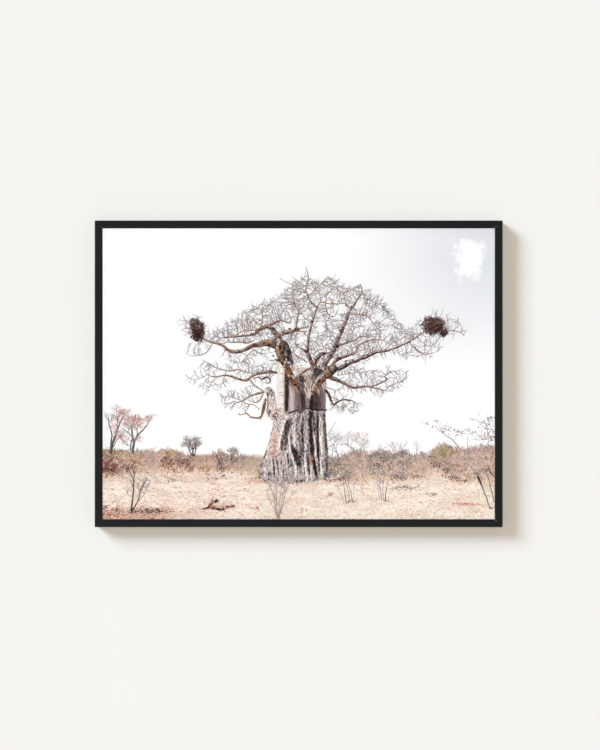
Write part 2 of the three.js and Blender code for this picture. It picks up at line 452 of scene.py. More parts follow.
rail_wall = outer_high.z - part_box("backing_board")[1].z
for right, up in ((-1, -1), (-1, 1), (1, -1), (1, 1)):
    corner = Vector(((outer_low, outer_high)[right > 0].x, 0, (outer_low, outer_high)[up > 0].z))
    inward = Vector((-right, 0, -up)).normalized()
    sideways = Vector((-up, 0, right)).normalized()
    centre = corner + inward * (rail_wall * NAIL_PLACE)
    points = []
    for step in range(2 * NAIL_WAVES + 1):
        share = step / (2 * NAIL_WAVES) - 0.5
        swing = NAIL_SWING if step % 2 else -NAIL_SWING
        points.append(centre + sideways * (share * NAIL_WIDTH) + inward * swing)
    vertices = []
    for level in (-NAIL_SUNK, NAIL_PROUD):
        for shift in (-NAIL_SHEET / 2, NAIL_SHEET / 2):
            vertices += [(p + inward * shift) + Vector((0, level, 0)) for p in points]
    n = len(points)
    faces = []
    for i in range(n - 1):
        faces += [
            (i, i + 1, n + i + 1, n + i),
            (2 * n + i, 3 * n + i, 3 * n + i + 1, 2 * n + i + 1),
            (i, 2 * n + i, 2 * n + i + 1, i + 1),
            (n + i, n + i + 1, 3 * n + i + 1, 3 * n + i),
        ]
    faces += [(0, n, 3 * n, 2 * n), (n - 1, 3 * n - 1, 4 * n - 1, 2 * n - 1)]
    mesh = bpy.data.meshes.new("corner_nail")
    mesh.from_pydata(vertices, [], faces)
    shape = bmesh.new()
    shape.from_mesh(mesh)
    bmesh.ops.recalc_face_normals(shape, faces=shape.faces)
    shape.to_mesh(mesh)
    shape.free()
    mesh.materials.append(zinc)
    side_name = ("bottom", "top")[up > 0] + "_" + ("left", "right")[right > 0]
    nail = show(bpy.data.objects.new(f"corner_nail_{side_name}", mesh))
    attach(nail, "root")

# ---- Glazing ----
# One clear acrylic sheet with a non-reflecting face, laid in the rebate behind the lip.
# It mirrors about one part in a hundred head on, and more at a slant.
acrylic, tree, shader = new_material(
    "clear_acrylic", {"Metallic": 1.0, "Roughness": 0.04, "Base Color": (0.97, 0.98, 0.985, 1.0)}
)
slant = add_node(tree, "ShaderNodeLayerWeight", {"Blend": 0.5}).outputs["Facing"]
steep = sum_of(tree, "POWER", slant, 5.0)
mirror_share = sum_of(tree, "MULTIPLY_ADD", steep, 0.9, 0.008)
dress(tree, shader, {"Alpha": mirror_share})
glazing = softened_copy("glazing", "glazing_sheet", 0.12 * MM, steps=2)
stand_for(glazing, "glazing", acrylic)

# ---- Backing board ----
# A sheet of brown hardboard, smooth side out, that presses the stack forward. Its edges are sawn
# and a little frayed, and its face is mottled with pressed fibre.
hardboard, tree, shader = new_material("hardboard", {"Specular IOR Level": 0.3})
place = object_place(tree)
fibre = place_group(tree, mottle, {"Place": place, "Size": 0.0022, "Roughness": 0.75, "Relief": 0.00012})
stain_cloud = place_group(tree, mottle, {"Place": place, "Size": 0.07, "Roughness": 0.5})
worn_here = add_node(tree, "ShaderNodeAttribute", attribute_name="worn").outputs["Fac"]
board_tint = blend_paint(tree, stain_cloud.outputs["Mask"], paint("6f4c33"), paint("8d6746"))
flecks = rescaled(tree, fibre.outputs["Mask"], 0.42, 0.7)
board_flecked = blend_paint(tree, flecks, board_tint, paint("a98460"))
sawn = place_group(
    tree, edge_wear, {"Place": place, "Worn": worn_here, "Patch Size": 0.006, "Amount": 0.8}
)
board_sawn = blend_paint(tree, sawn.outputs["Mask"], board_flecked, paint("c0a078"))
board_dull = rescaled(tree, stain_cloud.outputs["Mask"], 0.3, 0.7, 0.5, 0.72)
dress(tree, shader, {"Base Color": board_sawn, "Roughness": board_dull, "Normal": fibre.outputs["Normal"]})
board = softened_copy("backing_board", "hardboard_back", 0.4 * MM)
stand_for(board, "backing_board", hardboard)

# ---- Steel tabs ----
# Flat zinc plated tabs, driven into slits in the rails, lie over the board's edge and hold it in.
# Each is sheared from strip, with rounded corners and a bright edge.
tab_nodes = sorted(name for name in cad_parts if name.startswith("tab_"))
for tab_node in tab_nodes:
    tab = softened_copy(tab_node, f"{tab_node}_steel", 0.2 * MM)
    stand_for(tab, tab_node, zinc)

# ---- Sawtooth hangers and their rivets ----
# A pressed steel strip with a row of teeth, plated to look like brass, is riveted to the board
# near each top corner. A nail head in the wall sits under the teeth.
brassed, tree, shader = new_material("brassed_steel", {"Metallic": 1.0})
place = object_place(tree)
brushed = place_group(tree, mottle, {"Place": place, "Size": 0.0015, "Relief": 0.00002})
tarnish = place_group(tree, mottle, {"Place": place, "Size": 0.012, "Roughness": 0.7})
worn_here = add_node(tree, "ShaderNodeAttribute", attribute_name="worn").outputs["Fac"]
brass_edge = place_group(
    tree, edge_wear, {"Place": place, "Worn": worn_here, "Patch Size": 0.002, "Amount": 0.7}
)
brass_tint = blend_paint(tree, tarnish.outputs["Mask"], paint("8a6a35"), paint("cdb06c"))
brass_bright = blend_paint(tree, brass_edge.outputs["Mask"], brass_tint, paint("d8d6cf"))
brass_dull = rescaled(tree, tarnish.outputs["Mask"], 0.3, 0.7, 0.42, 0.24)
dress(tree, shader, {
    "Base Color": brass_bright, "Roughness": brass_dull, "Normal": brushed.outputs["Normal"],
})
for side in ("left", "right"):
    hanger = softened_copy(f"hanger_{side}", f"hanger_{side}_strip", 0.15 * MM, steps=2)
    stand_for(hanger, f"hanger_{side}", brassed)
    for end in ("outer", "inner"):
        rivet = softened_copy(f"rivet_{side}_{end}", f"rivet_{side}_{end}_head", 0.15 * MM, steps=2)
        stand_for(rivet, f"rivet_{side}_{end}", zinc)

# ---- The print: card, sky and dry ground ----
# Matt coated paper bonded to a card, which fills the frame behind the glazing.
# The paper carries the broad tones: a white sky that greys to the upper right, one soft cloud,
# and pale sandy ground.
CARD_SHARE = 0.66  # of the print's thickness: the rest is room for the ink
GROUND_LINE = 14 * MM  # above the foot of the tree
print_low, print_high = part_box("print")
card_front = print_high.y - (print_high.y - print_low.y) * CARD_SHARE
FOOT = Vector((-3 * MM, 0, -393.5 * MM))  # of the tree in the picture: strokes are placed from it
CARD_CORNER = 0.5 * MM
CLOUD_RIGHT, CLOUD_DOWN = 260.0, 52.0  # mm from the middle of the top rail
CLOUD_HALF_WIDTH, CLOUD_HALF_HEIGHT = 22.0, 32.0

card_shape = bmesh.new()
bmesh.ops.create_cube(card_shape, size=1.0)
for vertex in card_shape.verts:
    vertex.co.x = (print_low.x, print_high.x)[vertex.co.x > 0]
    vertex.co.y = (card_front, print_high.y)[vertex.co.y > 0]
    vertex.co.z = (print_low.z, print_high.z)[vertex.co.z > 0]
upright = [e for e in card_shape.edges if abs(e.verts[0].co.y - e.verts[1].co.y) > 1e-4]
bmesh.ops.bevel(
    card_shape, geom=upright, offset=CARD_CORNER, segments=3, profile=0.5, affect="EDGES"
)
mesh = bpy.data.meshes.new("print_card")
card_shape.to_mesh(mesh)
card_shape.free()
card = show(bpy.data.objects.new("print_card", mesh))

card_paint, tree, shader = new_material(
    "printed_card", {"Roughness": 0.62, "Specular IOR Level": 0.25}
)
place = object_place(tree)
axes = add_node(tree, "ShaderNodeSeparateXYZ", {"Vector": place})
WHITE = paint("fafafa")
sky_right = smooth_step(tree, axes.outputs["X"], 20 * MM, 290 * MM)
sky_high = smooth_step(tree, axes.outputs["Z"], -270 * MM, -40 * MM)
sky_paint = blend_paint(tree, sum_of(tree, "MULTIPLY", sky_right, sky_high), WHITE, paint("dfe0e4"))
cloud_place = add_node(
    tree,
    "ShaderNodeMapping",
    {
        "Vector": place,
        "Location": (-CLOUD_RIGHT / CLOUD_HALF_WIDTH, 0.0, CLOUD_DOWN / CLOUD_HALF_HEIGHT),
        "Scale": (1 / (CLOUD_HALF_WIDTH * MM), 0.0, 1 / (CLOUD_HALF_HEIGHT * MM)),
    },
)
cloud_noise = add_node(
    tree, "ShaderNodeTexNoise", {"Vector": place, "Scale": 70.0, "Detail": 6.0, "Roughness": 0.6}
)
cloud_reach = add_node(
    tree, "ShaderNodeVectorMath", {0: cloud_place.outputs[0]}, operation="LENGTH"
).outputs["Value"]
cloud_ragged = sum_of(tree, "MULTIPLY_ADD", cloud_noise.outputs["Fac"], 2.4, cloud_reach)
cloud_mask = smooth_step(tree, cloud_ragged, 2.4, 1.75)
sky_clouded = blend_paint(tree, cloud_mask, sky_paint, WHITE)

ground_place = add_node(tree, "ShaderNodeMapping", {"Vector": place, "Scale": (0.35, 1.0, 1.0)})
ground_patch = place_group(
    tree, mottle, {"Place": ground_place.outputs[0], "Size": 0.02, "Roughness": 0.65}
)
ground_mask = smooth_step(tree, ground_patch.outputs["Mask"], 0.35, 0.62)
ground_paint = blend_paint(tree, ground_mask, paint("e8d2bf"), paint("f7eadb"))
leftwards = smooth_step(tree, axes.outputs["X"], -60 * MM, -290 * MM)
low_down = smooth_step(tree, axes.outputs["Z"], -425 * MM, -452 * MM)
pink_mask = sum_of(tree, "MULTIPLY", leftwards, low_down)
ground_pink = blend_paint(tree, pink_mask, ground_paint, paint("d8ac96"))
ground_edge = FOOT.z + GROUND_LINE
sky_mask = smooth_step(tree, axes.outputs["Z"], ground_edge - 1 * MM, ground_edge + 1 * MM)
card_tint = blend_paint(tree, sky_mask, ground_pink, sky_clouded)
tooth = place_group(tree, mottle, {"Place": place, "Size": 0.0006, "Relief": 0.000012})
dress(tree, shader, {"Base Color": card_tint, "Normal": tooth.outputs["Normal"]})
stand_for(card, "print", card_paint)

# ---- The ink ----
# The picture is built up from tens of thousands of flat tapered ink strokes, each in one plain
# tone. Strokes are gathered in layers, and each later stroke lies a hair nearer the glazing.
INKS = {
    "soot": "1a1415", "bark shadow": "3a3234", "bark dark": "5b5152", "bark mid": "80767a",
    "bark grey": "a39998", "bark pale": "c8c0bd", "bark cream": "e4dad1", "bleached": "fbf6f0",
    "maroon": "3a2829", "mauve shadow": "574647", "mauve": "7c6a6b", "mauve grey": "9c8a8a",
    "mauve pale": "bbaba8", "rose bark": "d8c5bd", "rose pale": "eee0d8",
    "umber": "3d211a", "brown": "6e4636", "tan": "976a50", "ochre": "a46f4a", "sand": "bd9578",
    "fawn": "dcc2aa", "rust": "c0664c", "pale rust": "dd9a84",
    "dark twig": "5e4a48", "brown twig": "85695d", "twig": "88787a", "grey twig": "a89c9e",
    "pale twig": "c6bfc3", "red leaf": "ab584e", "pink leaf": "d49d93", "olive leaf": "a0935f",
    "yellow leaf": "cdb67c", "moss": "77735a", "scrub brown": "90705f", "scrub shadow": "573f38",
    "lilac scrub": "a8918b", "straw": "dbbd97", "chalk": "fdf8f0", "cream": "fbead6",
    "peach": "f4d8c2", "blush": "f0cdbd", "clay": "dfab8c", "earth": "b0846c", "stone": "866a62",
    "slate": "7d8890",
}
FRONT_LIGHT = 1.03  # how brightly white paper is lit on this wall: inks are mixed to allow for it
ink_names = list(INKS)
ink_materials = []
for ink, code in INKS.items():
    ink_tone = {"Base Color": paint(code, 1 / FRONT_LIGHT), "Roughness": 0.7, "Specular IOR Level": 0.15}
    ink_materials.append(new_material("ink " + ink, ink_tone)[0])

INK_ROOM = 0.43 * MM  # between the card and the glazing
TINY = 1e-9  # keeps a step of no length from being divided by nothing
dice = random.Random(24)


def new_layer(name, start, end):
    """An empty layer of strokes that fills this share of the room between card and glazing."""
    return {"name": name, "start": start, "end": end, "routes": [], "widths": [], "inks": []}


def tones(inks):
    """A list of ink names, from a list or from one string with commas."""
    return inks.split(", ") if isinstance(inks, str) else inks


def stroke(layer, route, widths, ink):
    """Adds a ribbon along a route of (right, up) points in mm from the tree's foot.

    Its widths are spread evenly along it, and its ink is one name or several to choose from."""
    layer["routes"].append(np.asarray(route, float))
    layer["widths"].append(widths)
    layer["inks"].append(ink_names.index(ink if str(ink) in INKS else dice.choice(tones(ink))))


def scatter(low, high):
    """A seeded number between two bounds."""
    return dice.uniform(low, high)


def around(centre, reach):
    """A seeded place near a centre, as thickly as a heap lies round its middle."""
    return np.array([dice.gauss(centre[0], reach[0] / 2), dice.gauss(centre[1], reach[1] / 2)])


def leaning(lean):
    """A step of length one at this lean, in radians from level."""
    return np.array([math.cos(lean), math.sin(lean)])


def dab(layer, spot, size, lean, ink):
    """One short leaf-shaped mark."""
    half = leaning(lean) * size / 2
    stroke(layer, [spot - half, spot, spot + half], (size * 0.2, size * 0.6, size * 0.2), ink)


def heap(layer, heaps, smallest, largest, lean, swing):
    """Dabs gathered in heaps. Each heap: centre, reach, marks, inks."""
    for centre, reach, count, inks in heaps:
        for _ in range(count):
            dab(layer, around(centre, reach), scatter(smallest, largest), dice.gauss(lean, swing), inks)


def lay_down(layer):
    """Makes the layer's strokes into one joined mesh in front of the card."""
    points, faces, inks = [], [], []
    count = 0
    total = len(layer["routes"])
    for number, (route, widths, ink) in enumerate(
        zip(layer["routes"], layer["widths"], layer["inks"])
    ):
        n = len(route)
        ahead = np.empty_like(route)
        ahead[0], ahead[-1] = route[1] - route[0], route[-1] - route[-2]
        ahead[1:-1] = route[2:] - route[:-2]
        ahead /= np.sqrt((ahead**2).sum(axis=1, keepdims=True)) + TINY
        along = np.linspace(0, len(widths) - 1, n)
        half = np.interp(along, range(len(widths)), widths)[:, None] / 2
        aside = np.stack([-ahead[:, 1], ahead[:, 0]], axis=1) * half
        ribbon = np.concatenate([route + aside, route - aside])
        share = layer["start"] + (layer["end"] - layer["start"]) * number / total
        spots = np.empty((2 * n, 3))
        spots[:, 0] = np.clip(FOOT.x + ribbon[:, 0] * MM, print_low.x, print_high.x)
        spots[:, 1] = card_front - INK_ROOM * share
        spots[:, 2] = np.clip(FOOT.z + ribbon[:, 1] * MM, print_low.z, print_high.z)
        step = np.arange(n - 1) + count
        faces.append(np.stack([step + n, step + n + 1, step + 1, step], axis=1))
        inks.append(np.full(n - 1, ink))
        points.append(spots)
        count += 2 * n
    mesh = bpy.data.meshes.new(layer["name"])
    faces = np.concatenate(faces)
    mesh.from_pydata(np.concatenate(points).tolist(), [], faces.tolist())
    used = sorted(set(layer["inks"]))
    for ink in used:
        mesh.materials.append(ink_materials[ink])
    slots = np.searchsorted(used, np.concatenate(inks))
    mesh.polygons.foreach_set("material_index", slots.astype(np.int32))
    mesh.update()
    piece = show(bpy.data.objects.new(layer["name"], mesh))
    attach(piece, "root")
    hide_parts("print")
    return piece


def smooth_route(knots, spacing=2.5):
    """A smooth curve through given knots, with a point about every spacing mm."""
    knots = np.asarray(knots, float)
    padded = np.concatenate([[2 * knots[0] - knots[1]], knots, [2 * knots[-1] - knots[-2]]])
    route = []
    for a, b, c, d in zip(padded, padded[1:], padded[2:], padded[3:]):
        steps = max(2, int(np.linalg.norm(c - b) / spacing))
        for t in np.arange(steps) / steps:
            route.append(
                0.5 * (2 * b + (c - a) * t + (2 * a - 5 * b + 4 * c - d) * t**2
                       + (3 * b - a - 3 * c + d) * t**3)
            )
    route.append(knots[-1])
    return np.array(route)


# ---- Dry ground ----
# Sandy ground printed below and before the tree: thousands of short dashes of straw, dry grass and
# stone, in tussocks and loose, redder towards the lower left.
WINDOW_LEFT, WINDOW_RIGHT, WINDOW_FOOT = -303.0, 309.0, -66.0  # mm from the foot, inside the rails
GROUND_TOP = 12.0
ground_flecks = new_layer("picture_ground_flecks", 0.02, 0.10)


def ground_inks(right, up):
    """What the ground's flecks are made of here: redder low on the left, whiter near the tree."""
    if right < -190 and up < -44:
        return "clay, rust, pale rust, earth, clay, scrub brown, peach"
    if right < -60:
        return "blush, cream, blush, peach, chalk, pink leaf, chalk, cream"
    return "cream, chalk, peach, cream, chalk, chalk, blush, straw"


def dash(layer, spot, length, lean, width, ink):
    """One thin mark that lies along the ground."""
    half = leaning(lean) * length / 2
    middle = spot + np.array([0, dice.gauss(0, 0.2)])
    stroke(layer, [spot - half, middle, spot + half], (width * 0.4, width, width * 0.3), ink)


TUSSOCKS = 1100
for _ in range(TUSSOCKS):
    near = dice.random() ** 0.8  # 0 at the scrub, 1 at the lower edge
    up = GROUND_TOP + (WINDOW_FOOT - GROUND_TOP) * near
    centre = np.array([scatter(WINDOW_LEFT, WINDOW_RIGHT), up])
    inks = [dice.choice(tones(ground_inks(*centre))) for _ in range(2)]
    for _ in range(dice.randint(4, 9)):
        spot = around(centre, (5 + 6 * near, 1.6 + 2.5 * near))
        dash(ground_flecks, spot, scatter(2, 5), dice.gauss(0, 0.3), scatter(0.7, 1.5), inks)
STRAWS = 3600
for _ in range(STRAWS):
    near = dice.random()
    up = GROUND_TOP + (WINDOW_FOOT + 1 - GROUND_TOP) * near
    spot = np.array([scatter(WINDOW_LEFT, WINDOW_RIGHT), up])
    inks = "clay, rose bark, straw, pink leaf, mauve pale, blush, fawn"
    if dice.random() < 0.12 + 0.1 * (spot[0] < -80):
        inks = "stone, earth, scrub brown, mauve, mauve grey"
    dash(ground_flecks, spot, scatter(1.2, 4.5), dice.gauss(0, 0.35), scatter(0.4, 0.9), inks)
# Each patch: centre, reach, marks, inks.
GROUND_PATCHES = [
    ((-250, -50), (62, 9), 460, "clay, earth, peach, scrub brown, rose bark, stone"),
    ((-222, -48), (36, 4), 150, "scrub shadow, umber, stone, brown"),
    ((-292, -42), (7, 4), 26, "umber, maroon, brown"),
    ((-276, -44), (6, 3), 18, "umber, maroon, brown"),
    ((-290, -52), (16, 3), 30, "scrub shadow, brown, rust"),
    ((-270, -62), (34, 4), 150, "pale rust, clay, peach, pink leaf"),
    ((-195, 2), (22, 5), 40, "scrub brown, mauve shadow, mauve"),
    ((-128, 4), (22, 5), 34, "scrub brown, mauve shadow, stone"),
    ((-60, -2), (20, 4), 70, "pale rust, clay, pink leaf"),
    ((258, -37), (24, 3), 90, "pale rust, clay, rust"),
    ((52, -22), (5, 3), 14, "brown, scrub shadow, rust"),
    ((10, -46), (8, 6), 18, "stone, clay, scrub brown"),
    ((-60, -42), (5, 4), 20, "clay, pale rust, ochre"),
    ((165, -12), (24, 4), 80, "mauve grey, scrub brown, stone"),
    ((206, -22), (10, 3), 24, "mauve, scrub brown, stone"),
]
for centre, reach, count, inks in GROUND_PATCHES:
    for _ in range(count):
        spot = around(centre, reach)
        dash(ground_flecks, spot, scatter(1.6, 4.0), dice.gauss(0, 0.4), scatter(0.6, 1.3), inks)

# ---- Thorn scrub ----
# A band of dry scrub stands behind the tree, reddish on the left and grey on the right. It is made
# of clumps: each has an underlay, a head of dabs in two or three tones, and a few bare stems.
far_scrub = new_layer("picture_far_scrub", 0.10, 0.24)


def clump(layer, centre, reach, count, inks, size=1.5, lean=1.3):
    """Dabs gathered round a centre in two tones picked for this clump."""
    picked = [dice.choice(tones(inks)) for _ in range(2)]
    for _ in range(count):
        dab(layer, around(centre, reach), size * scatter(0.6, 1.3), dice.gauss(lean, 0.7), picked)


def stems(layer, foot, height, spread, count, inks, width=0.6):
    """Bare stems that fan up from one foot, each crooked."""
    for _ in range(count):
        lean = dice.gauss(0, spread)
        tall = height * scatter(0.5, 1.05)
        elbow = [foot[0] + lean * tall * 0.4 + dice.gauss(0, 0.6), foot[1] + tall * 0.5]
        tip = [foot[0] + lean * tall + dice.gauss(0, 1.2), foot[1] + tall]
        stroke(layer, [foot, elbow, tip], (width, width * 0.7, width * 0.3), inks)


def scribble(layer, centre, reach, count, inks, length=4.5, width=0.6):
    """Short bent twigs at every lean round a centre."""
    for _ in range(count):
        middle = around(centre, reach)
        lean = dice.gauss(1.4, 0.8)
        half = leaning(lean) * length * scatter(0.25, 0.65)
        bend = np.array([dice.gauss(0, 0.5), dice.gauss(0, 0.5)])
        route = [middle - half, middle + bend, middle + half]
        stroke(layer, route, (width * 0.6, width, width * 0.4), inks)


def read_off(outline, place):
    """What an outline of (place, value) points comes to at a place."""
    return np.interp(place, *zip(*outline))


# Heights of the scrub's top and foot at places from left to right.
SCRUB_TOP = [
    (-303, 42), (-285, 44), (-262, 41), (-240, 43), (-225, 40), (-205, 42), (-190, 41), (-172, 35),
    (-150, 33), (-135, 34), (-122, 35), (-114, 40), (-108, 33), (-86, 34), (-74, 31), (-58, 34), (-40, 30),
    (44, 34), (60, 30), (80, 40), (100, 42), (112, 36), (128, 45), (140, 40), (150, 38), (163, 42),
    (176, 38), (184, 31), (192, 40), (202, 34), (210, 41), (217, 49), (225, 54), (238, 47), (249, 46),
    (264, 46), (280, 50), (303, 49),
]
SCRUB_FOOT = [
    (-303, 9), (-275, 8), (-240, 14), (-180, 15), (-140, 16), (-90, 15), (-70, 12), (-50, 6),
    (44, 2), (70, 0), (110, 4), (150, 2), (170, 3), (196, 8), (212, 18), (230, 6), (240, 0),
    (262, -2), (303, 0),
]
# Each stretch: from, to, clumps, share of pale marks, inks of its head, inks of its shaded parts.
SCRUB = [
    (-303, -262, 150, 0.2, "red leaf, brown, olive leaf, scrub brown, yellow leaf, rust",
     "maroon, scrub shadow, red leaf, brown, rust, earth"),
    (-270, -222, 130, 0.6, "olive leaf, yellow leaf, pink leaf, scrub brown, clay, tan",
     "red leaf, scrub shadow, scrub brown, rust, earth, clay"),
    (-236, -190, 120, 0.9, "pink leaf, mauve pale, pale rust, scrub brown, straw, clay",
     "scrub brown, pale rust, earth, stone, clay"),
    (-200, -150, 150, 0.5, "yellow leaf, red leaf, olive leaf, pale rust, scrub brown",
     "red leaf, maroon, scrub shadow, brown, rust, pale rust"),
    (-160, -104, 150, 0.7, "yellow leaf, clay, pale rust, scrub brown, stone, earth",
     "scrub shadow, rust, earth, brown, pale rust, lilac scrub"),
    (-112, -66, 110, 0.8, "stone, moss, earth, mauve grey, clay, bark grey",
     "scrub shadow, earth, rust, stone, bark dark, pale rust"),
    (-78, -38, 80, 1.0, "straw, yellow leaf, mauve pale, clay, fawn, earth",
     "clay, scrub brown, straw, fawn, olive leaf, stone"),
    (42, 96, 130, 0.7, "mauve grey, moss, pink leaf, bark grey, lilac scrub, fawn",
     "bark dark, moss, mauve shadow, stone, olive leaf, rose bark"),
    (84, 124, 100, 1.0, "lilac scrub, rose bark, mauve grey, earth, pink leaf, clay",
     "stone, rose bark, earth, clay, mauve grey, pale rust"),
    (114, 186, 230, 0.7, "stone, bark dark, mauve grey, moss, earth, pink leaf",
     "mauve shadow, stone, earth, scrub brown, rose bark, bark mid"),
    (176, 214, 90, 1.0, "rose bark, mauve grey, pink leaf, earth, bark grey",
     "earth, scrub brown, rose bark, peach, clay"),
    (212, 244, 110, 0.6, "olive leaf, yellow leaf, moss, tan, straw",
     "moss, stone, scrub brown, brown, clay, rose bark, earth"),
    (236, 306, 230, 0.9, "lilac scrub, olive leaf, pink leaf, mauve pale, earth, bark grey",
     "earth, mauve grey, clay, stone, rose bark, scrub brown, olive leaf"),
]
PALE_SCRUB = "rose bark, fawn, blush, straw, cream, mauve pale, peach, pale twig, clay"
for start, end, clumps, pale_share, heads, shades in SCRUB:
    heads, shades = tones(heads), tones(shades)
    for level in range(4):
        for _ in range(clumps):
            right = scatter(start, end) + dice.gauss(0, 4 if start > 180 else 0)  # ragged at the right
            top = read_off(SCRUB_TOP, right) + dice.gauss(0, 2.2)
            foot = read_off(SCRUB_FOOT, right) + abs(dice.gauss(0, 2.0))
            if level == 0:
                up = scatter(foot, top - 3)
                under = shades + (tones(PALE_SCRUB) if dice.random() < pale_share else heads)
                clump(far_scrub, (right, up), (7, 6), 9, under, 3.0)
            elif level == 1:
                up = foot + (top - foot) * scatter(0.45, 1.0)
                clump(far_scrub, (right, up), (5, 4), 10, heads, 1.9)
                scribble(far_scrub, (right, up + 3), (5, 4), 3, heads + ["grey twig", "twig"])
            elif level == 2:
                up = foot + (top - foot) * scatter(0.1, 0.8)
                clump(far_scrub, (right, up), (3.4, 2.8), 8, shades, 1.8)
                scribble(far_scrub, (right, up), (6, 5), 4, shades + ["dark twig"])
            elif dice.random() < pale_share:
                up = foot + (top - foot) * scatter(0.0, 0.95)
                clump(far_scrub, (right, up), (3.4, 2.4), 6, PALE_SCRUB, 1.7)
                scribble(far_scrub, (right, up), (6, 5), 4, PALE_SCRUB)
    for _ in range(int((end - start) * 0.8)):
        right = scatter(start, end)
        top = read_off(SCRUB_TOP, right)
        inks = heads[:3] + ["grey twig", "pale twig", "twig"]
        stems(far_scrub, (right, top - 7), scatter(8, 17), 0.4, 2, inks, 0.55)
GRASS = 1500
for _ in range(GRASS):
    right = scatter(WINDOW_LEFT, WINDOW_RIGHT)
    foot = read_off(SCRUB_FOOT, right) - abs(dice.gauss(0, 4))
    inks = "straw, fawn, peach, clay, cream, blush"
    stems(far_scrub, (right, foot), scatter(4, 9), 0.4, 1, inks, 0.9)
# Darker hearts and yellower tops of single bushes: centre, reach, marks, inks.
SCRUB_HEARTS = [
    ((-284, 14), (15, 12), 130, "maroon, umber, scrub shadow, brown"),
    ((-300, 26), (8, 10), 50, "red leaf, rust, brown"),
    ((-262, 18), (10, 10), 50, "red leaf, maroon, scrub shadow"),
    ((-193, 24), (11, 12), 90, "maroon, red leaf, rust, scrub shadow"),
    ((-172, 26), (13, 9), 100, "maroon, mauve shadow, red leaf, scrub shadow"),
    ((-164, 17), (9, 6), 46, "red leaf, rust, brown"),
    ((-116, 26), (7, 14), 100, "maroon, scrub shadow, mauve shadow"),
    ((-112, 17), (10, 5), 50, "maroon, scrub shadow, brown"),
    ((-139, 18), (12, 6), 50, "brown, maroon, rust"),
    ((-98, 30), (7, 7), 44, "bark dark, moss, bark mid, scrub shadow"),
    ((-146, 31), (9, 5), 50, "yellow leaf, olive leaf, yellow leaf"),
    ((-288, 42), (12, 5), 60, "yellow leaf, olive leaf, straw"),
    ((-262, 38), (10, 5), 50, "yellow leaf, olive leaf, straw"),
    ((-192, 39), (10, 4), 44, "yellow leaf, olive leaf, straw"),
    ((-143, 20), (4, 9), 34, "yellow leaf, olive leaf"),
    ((48, 12), (8, 12), 90, "bark shadow, moss, bark dark"),
    ((60, 22), (12, 10), 70, "moss, bark dark, olive leaf"),
    ((134, 34), (11, 9), 90, "bark dark, mauve shadow, moss"),
    ((128, 20), (20, 12), 90, "mauve shadow, stone, scrub shadow"),
    ((72, 4), (9, 4), 60, "maroon, scrub shadow, brown"),
    ((160, 3), (18, 4), 90, "bark shadow, scrub shadow, bark dark"),
    ((184, 6), (14, 3), 50, "scrub shadow, mauve shadow, brown"),
    ((214, 23), (9, 5), 60, "mauve shadow, scrub shadow, bark dark"),
    ((229, 15), (7, 7), 70, "maroon, brown, scrub shadow"),
    ((240, 3), (12, 5), 70, "maroon, scrub shadow, brown"),
    ((256, -1), (12, 3), 50, "scrub shadow, mauve shadow, brown"),
    ((226, 42), (13, 9), 170, "olive leaf, moss, yellow leaf, tan"),
    ((277, 10), (5, 4), 30, "moss, olive leaf, bark shadow"),
    ((252, 34), (14, 8), 60, "lilac scrub, bark grey, mauve grey"),
    ((290, 16), (10, 4), 44, "mauve shadow, stone, mauve"),
]
heap(far_scrub, SCRUB_HEARTS, 1.0, 2.3, 1.3, 0.7)

# ---- Distant trees ----
# Small trees stand along the skyline: two with thin red foliage on the far left, a round one, an
# olive one, a pale thicket to the right of the trunk, and leaning trees by the right edge.
far_trees = new_layer("picture_far_trees", 0.24, 0.32)


def turn_towards(heading, goal, share):
    """A heading turned part of the way towards another."""
    return heading + share * math.atan2(math.sin(goal - heading), math.cos(goal - heading))


def shoot(layer, spot, heading, length, width, order, inks, up_pull=0.2, spread=0.55):
    """One stem that climbs and forks, for small trees and shrubs. Gives back its tips."""
    route = [np.array(spot, float)]
    for _ in range(3):
        heading += dice.gauss(0, 0.16)
        heading = turn_towards(heading, math.pi / 2, up_pull / 3)
        route.append(route[-1] + leaning(heading) * length / 3)
    inks = tones(inks)
    stroke(layer, route, (width, width * 0.7), inks[min(order, len(inks) - 1)])
    if order == 0:
        return [route[-1]]
    tips = []
    for i in (2, 3):
        for side in (-1, 1):
            if dice.random() < 0.85:
                lean = heading + side * scatter(0.5, 1.5) * spread
                tips += shoot(
                    layer, route[i], lean, length * scatter(0.5, 0.75), width * 0.62, order - 1,
                    inks, up_pull, spread,
                )
    return tips


# Each limb of the red trees is a route with its two end widths.
RED_TREE_LIMBS = [
    ([(-285, 40), (-283, 52), (-279, 64), (-274, 79), (-267, 96)], 4.2, 1.2),
    ([(-285, 42), (-284, 60), (-283, 70), (-287, 84), (-289, 97)], 2.6, 0.9),
    ([(-281, 50), (-275, 62), (-270, 68)], 1.2, 0.6),
    ([(-275, 80), (-274, 96), (-271, 104)], 1.2, 0.5),
    ([(-251, 41), (-251, 48), (-249, 58), (-252, 70), (-252, 84), (-247, 92)], 3.6, 1.2),
    ([(-255, 44), (-254, 54), (-251, 66)], 1.8, 1.2),
    ([(-249, 58), (-244, 68), (-236, 76), (-229, 84), (-226, 92)], 2.5, 0.9),
    ([(-252, 66), (-261, 75), (-268, 79)], 1.3, 0.7),
    ([(-244, 68), (-245, 78), (-250, 82)], 1.3, 0.7),
    ([(-258, 52), (-264, 58), (-271, 64)], 1.0, 0.5),
]
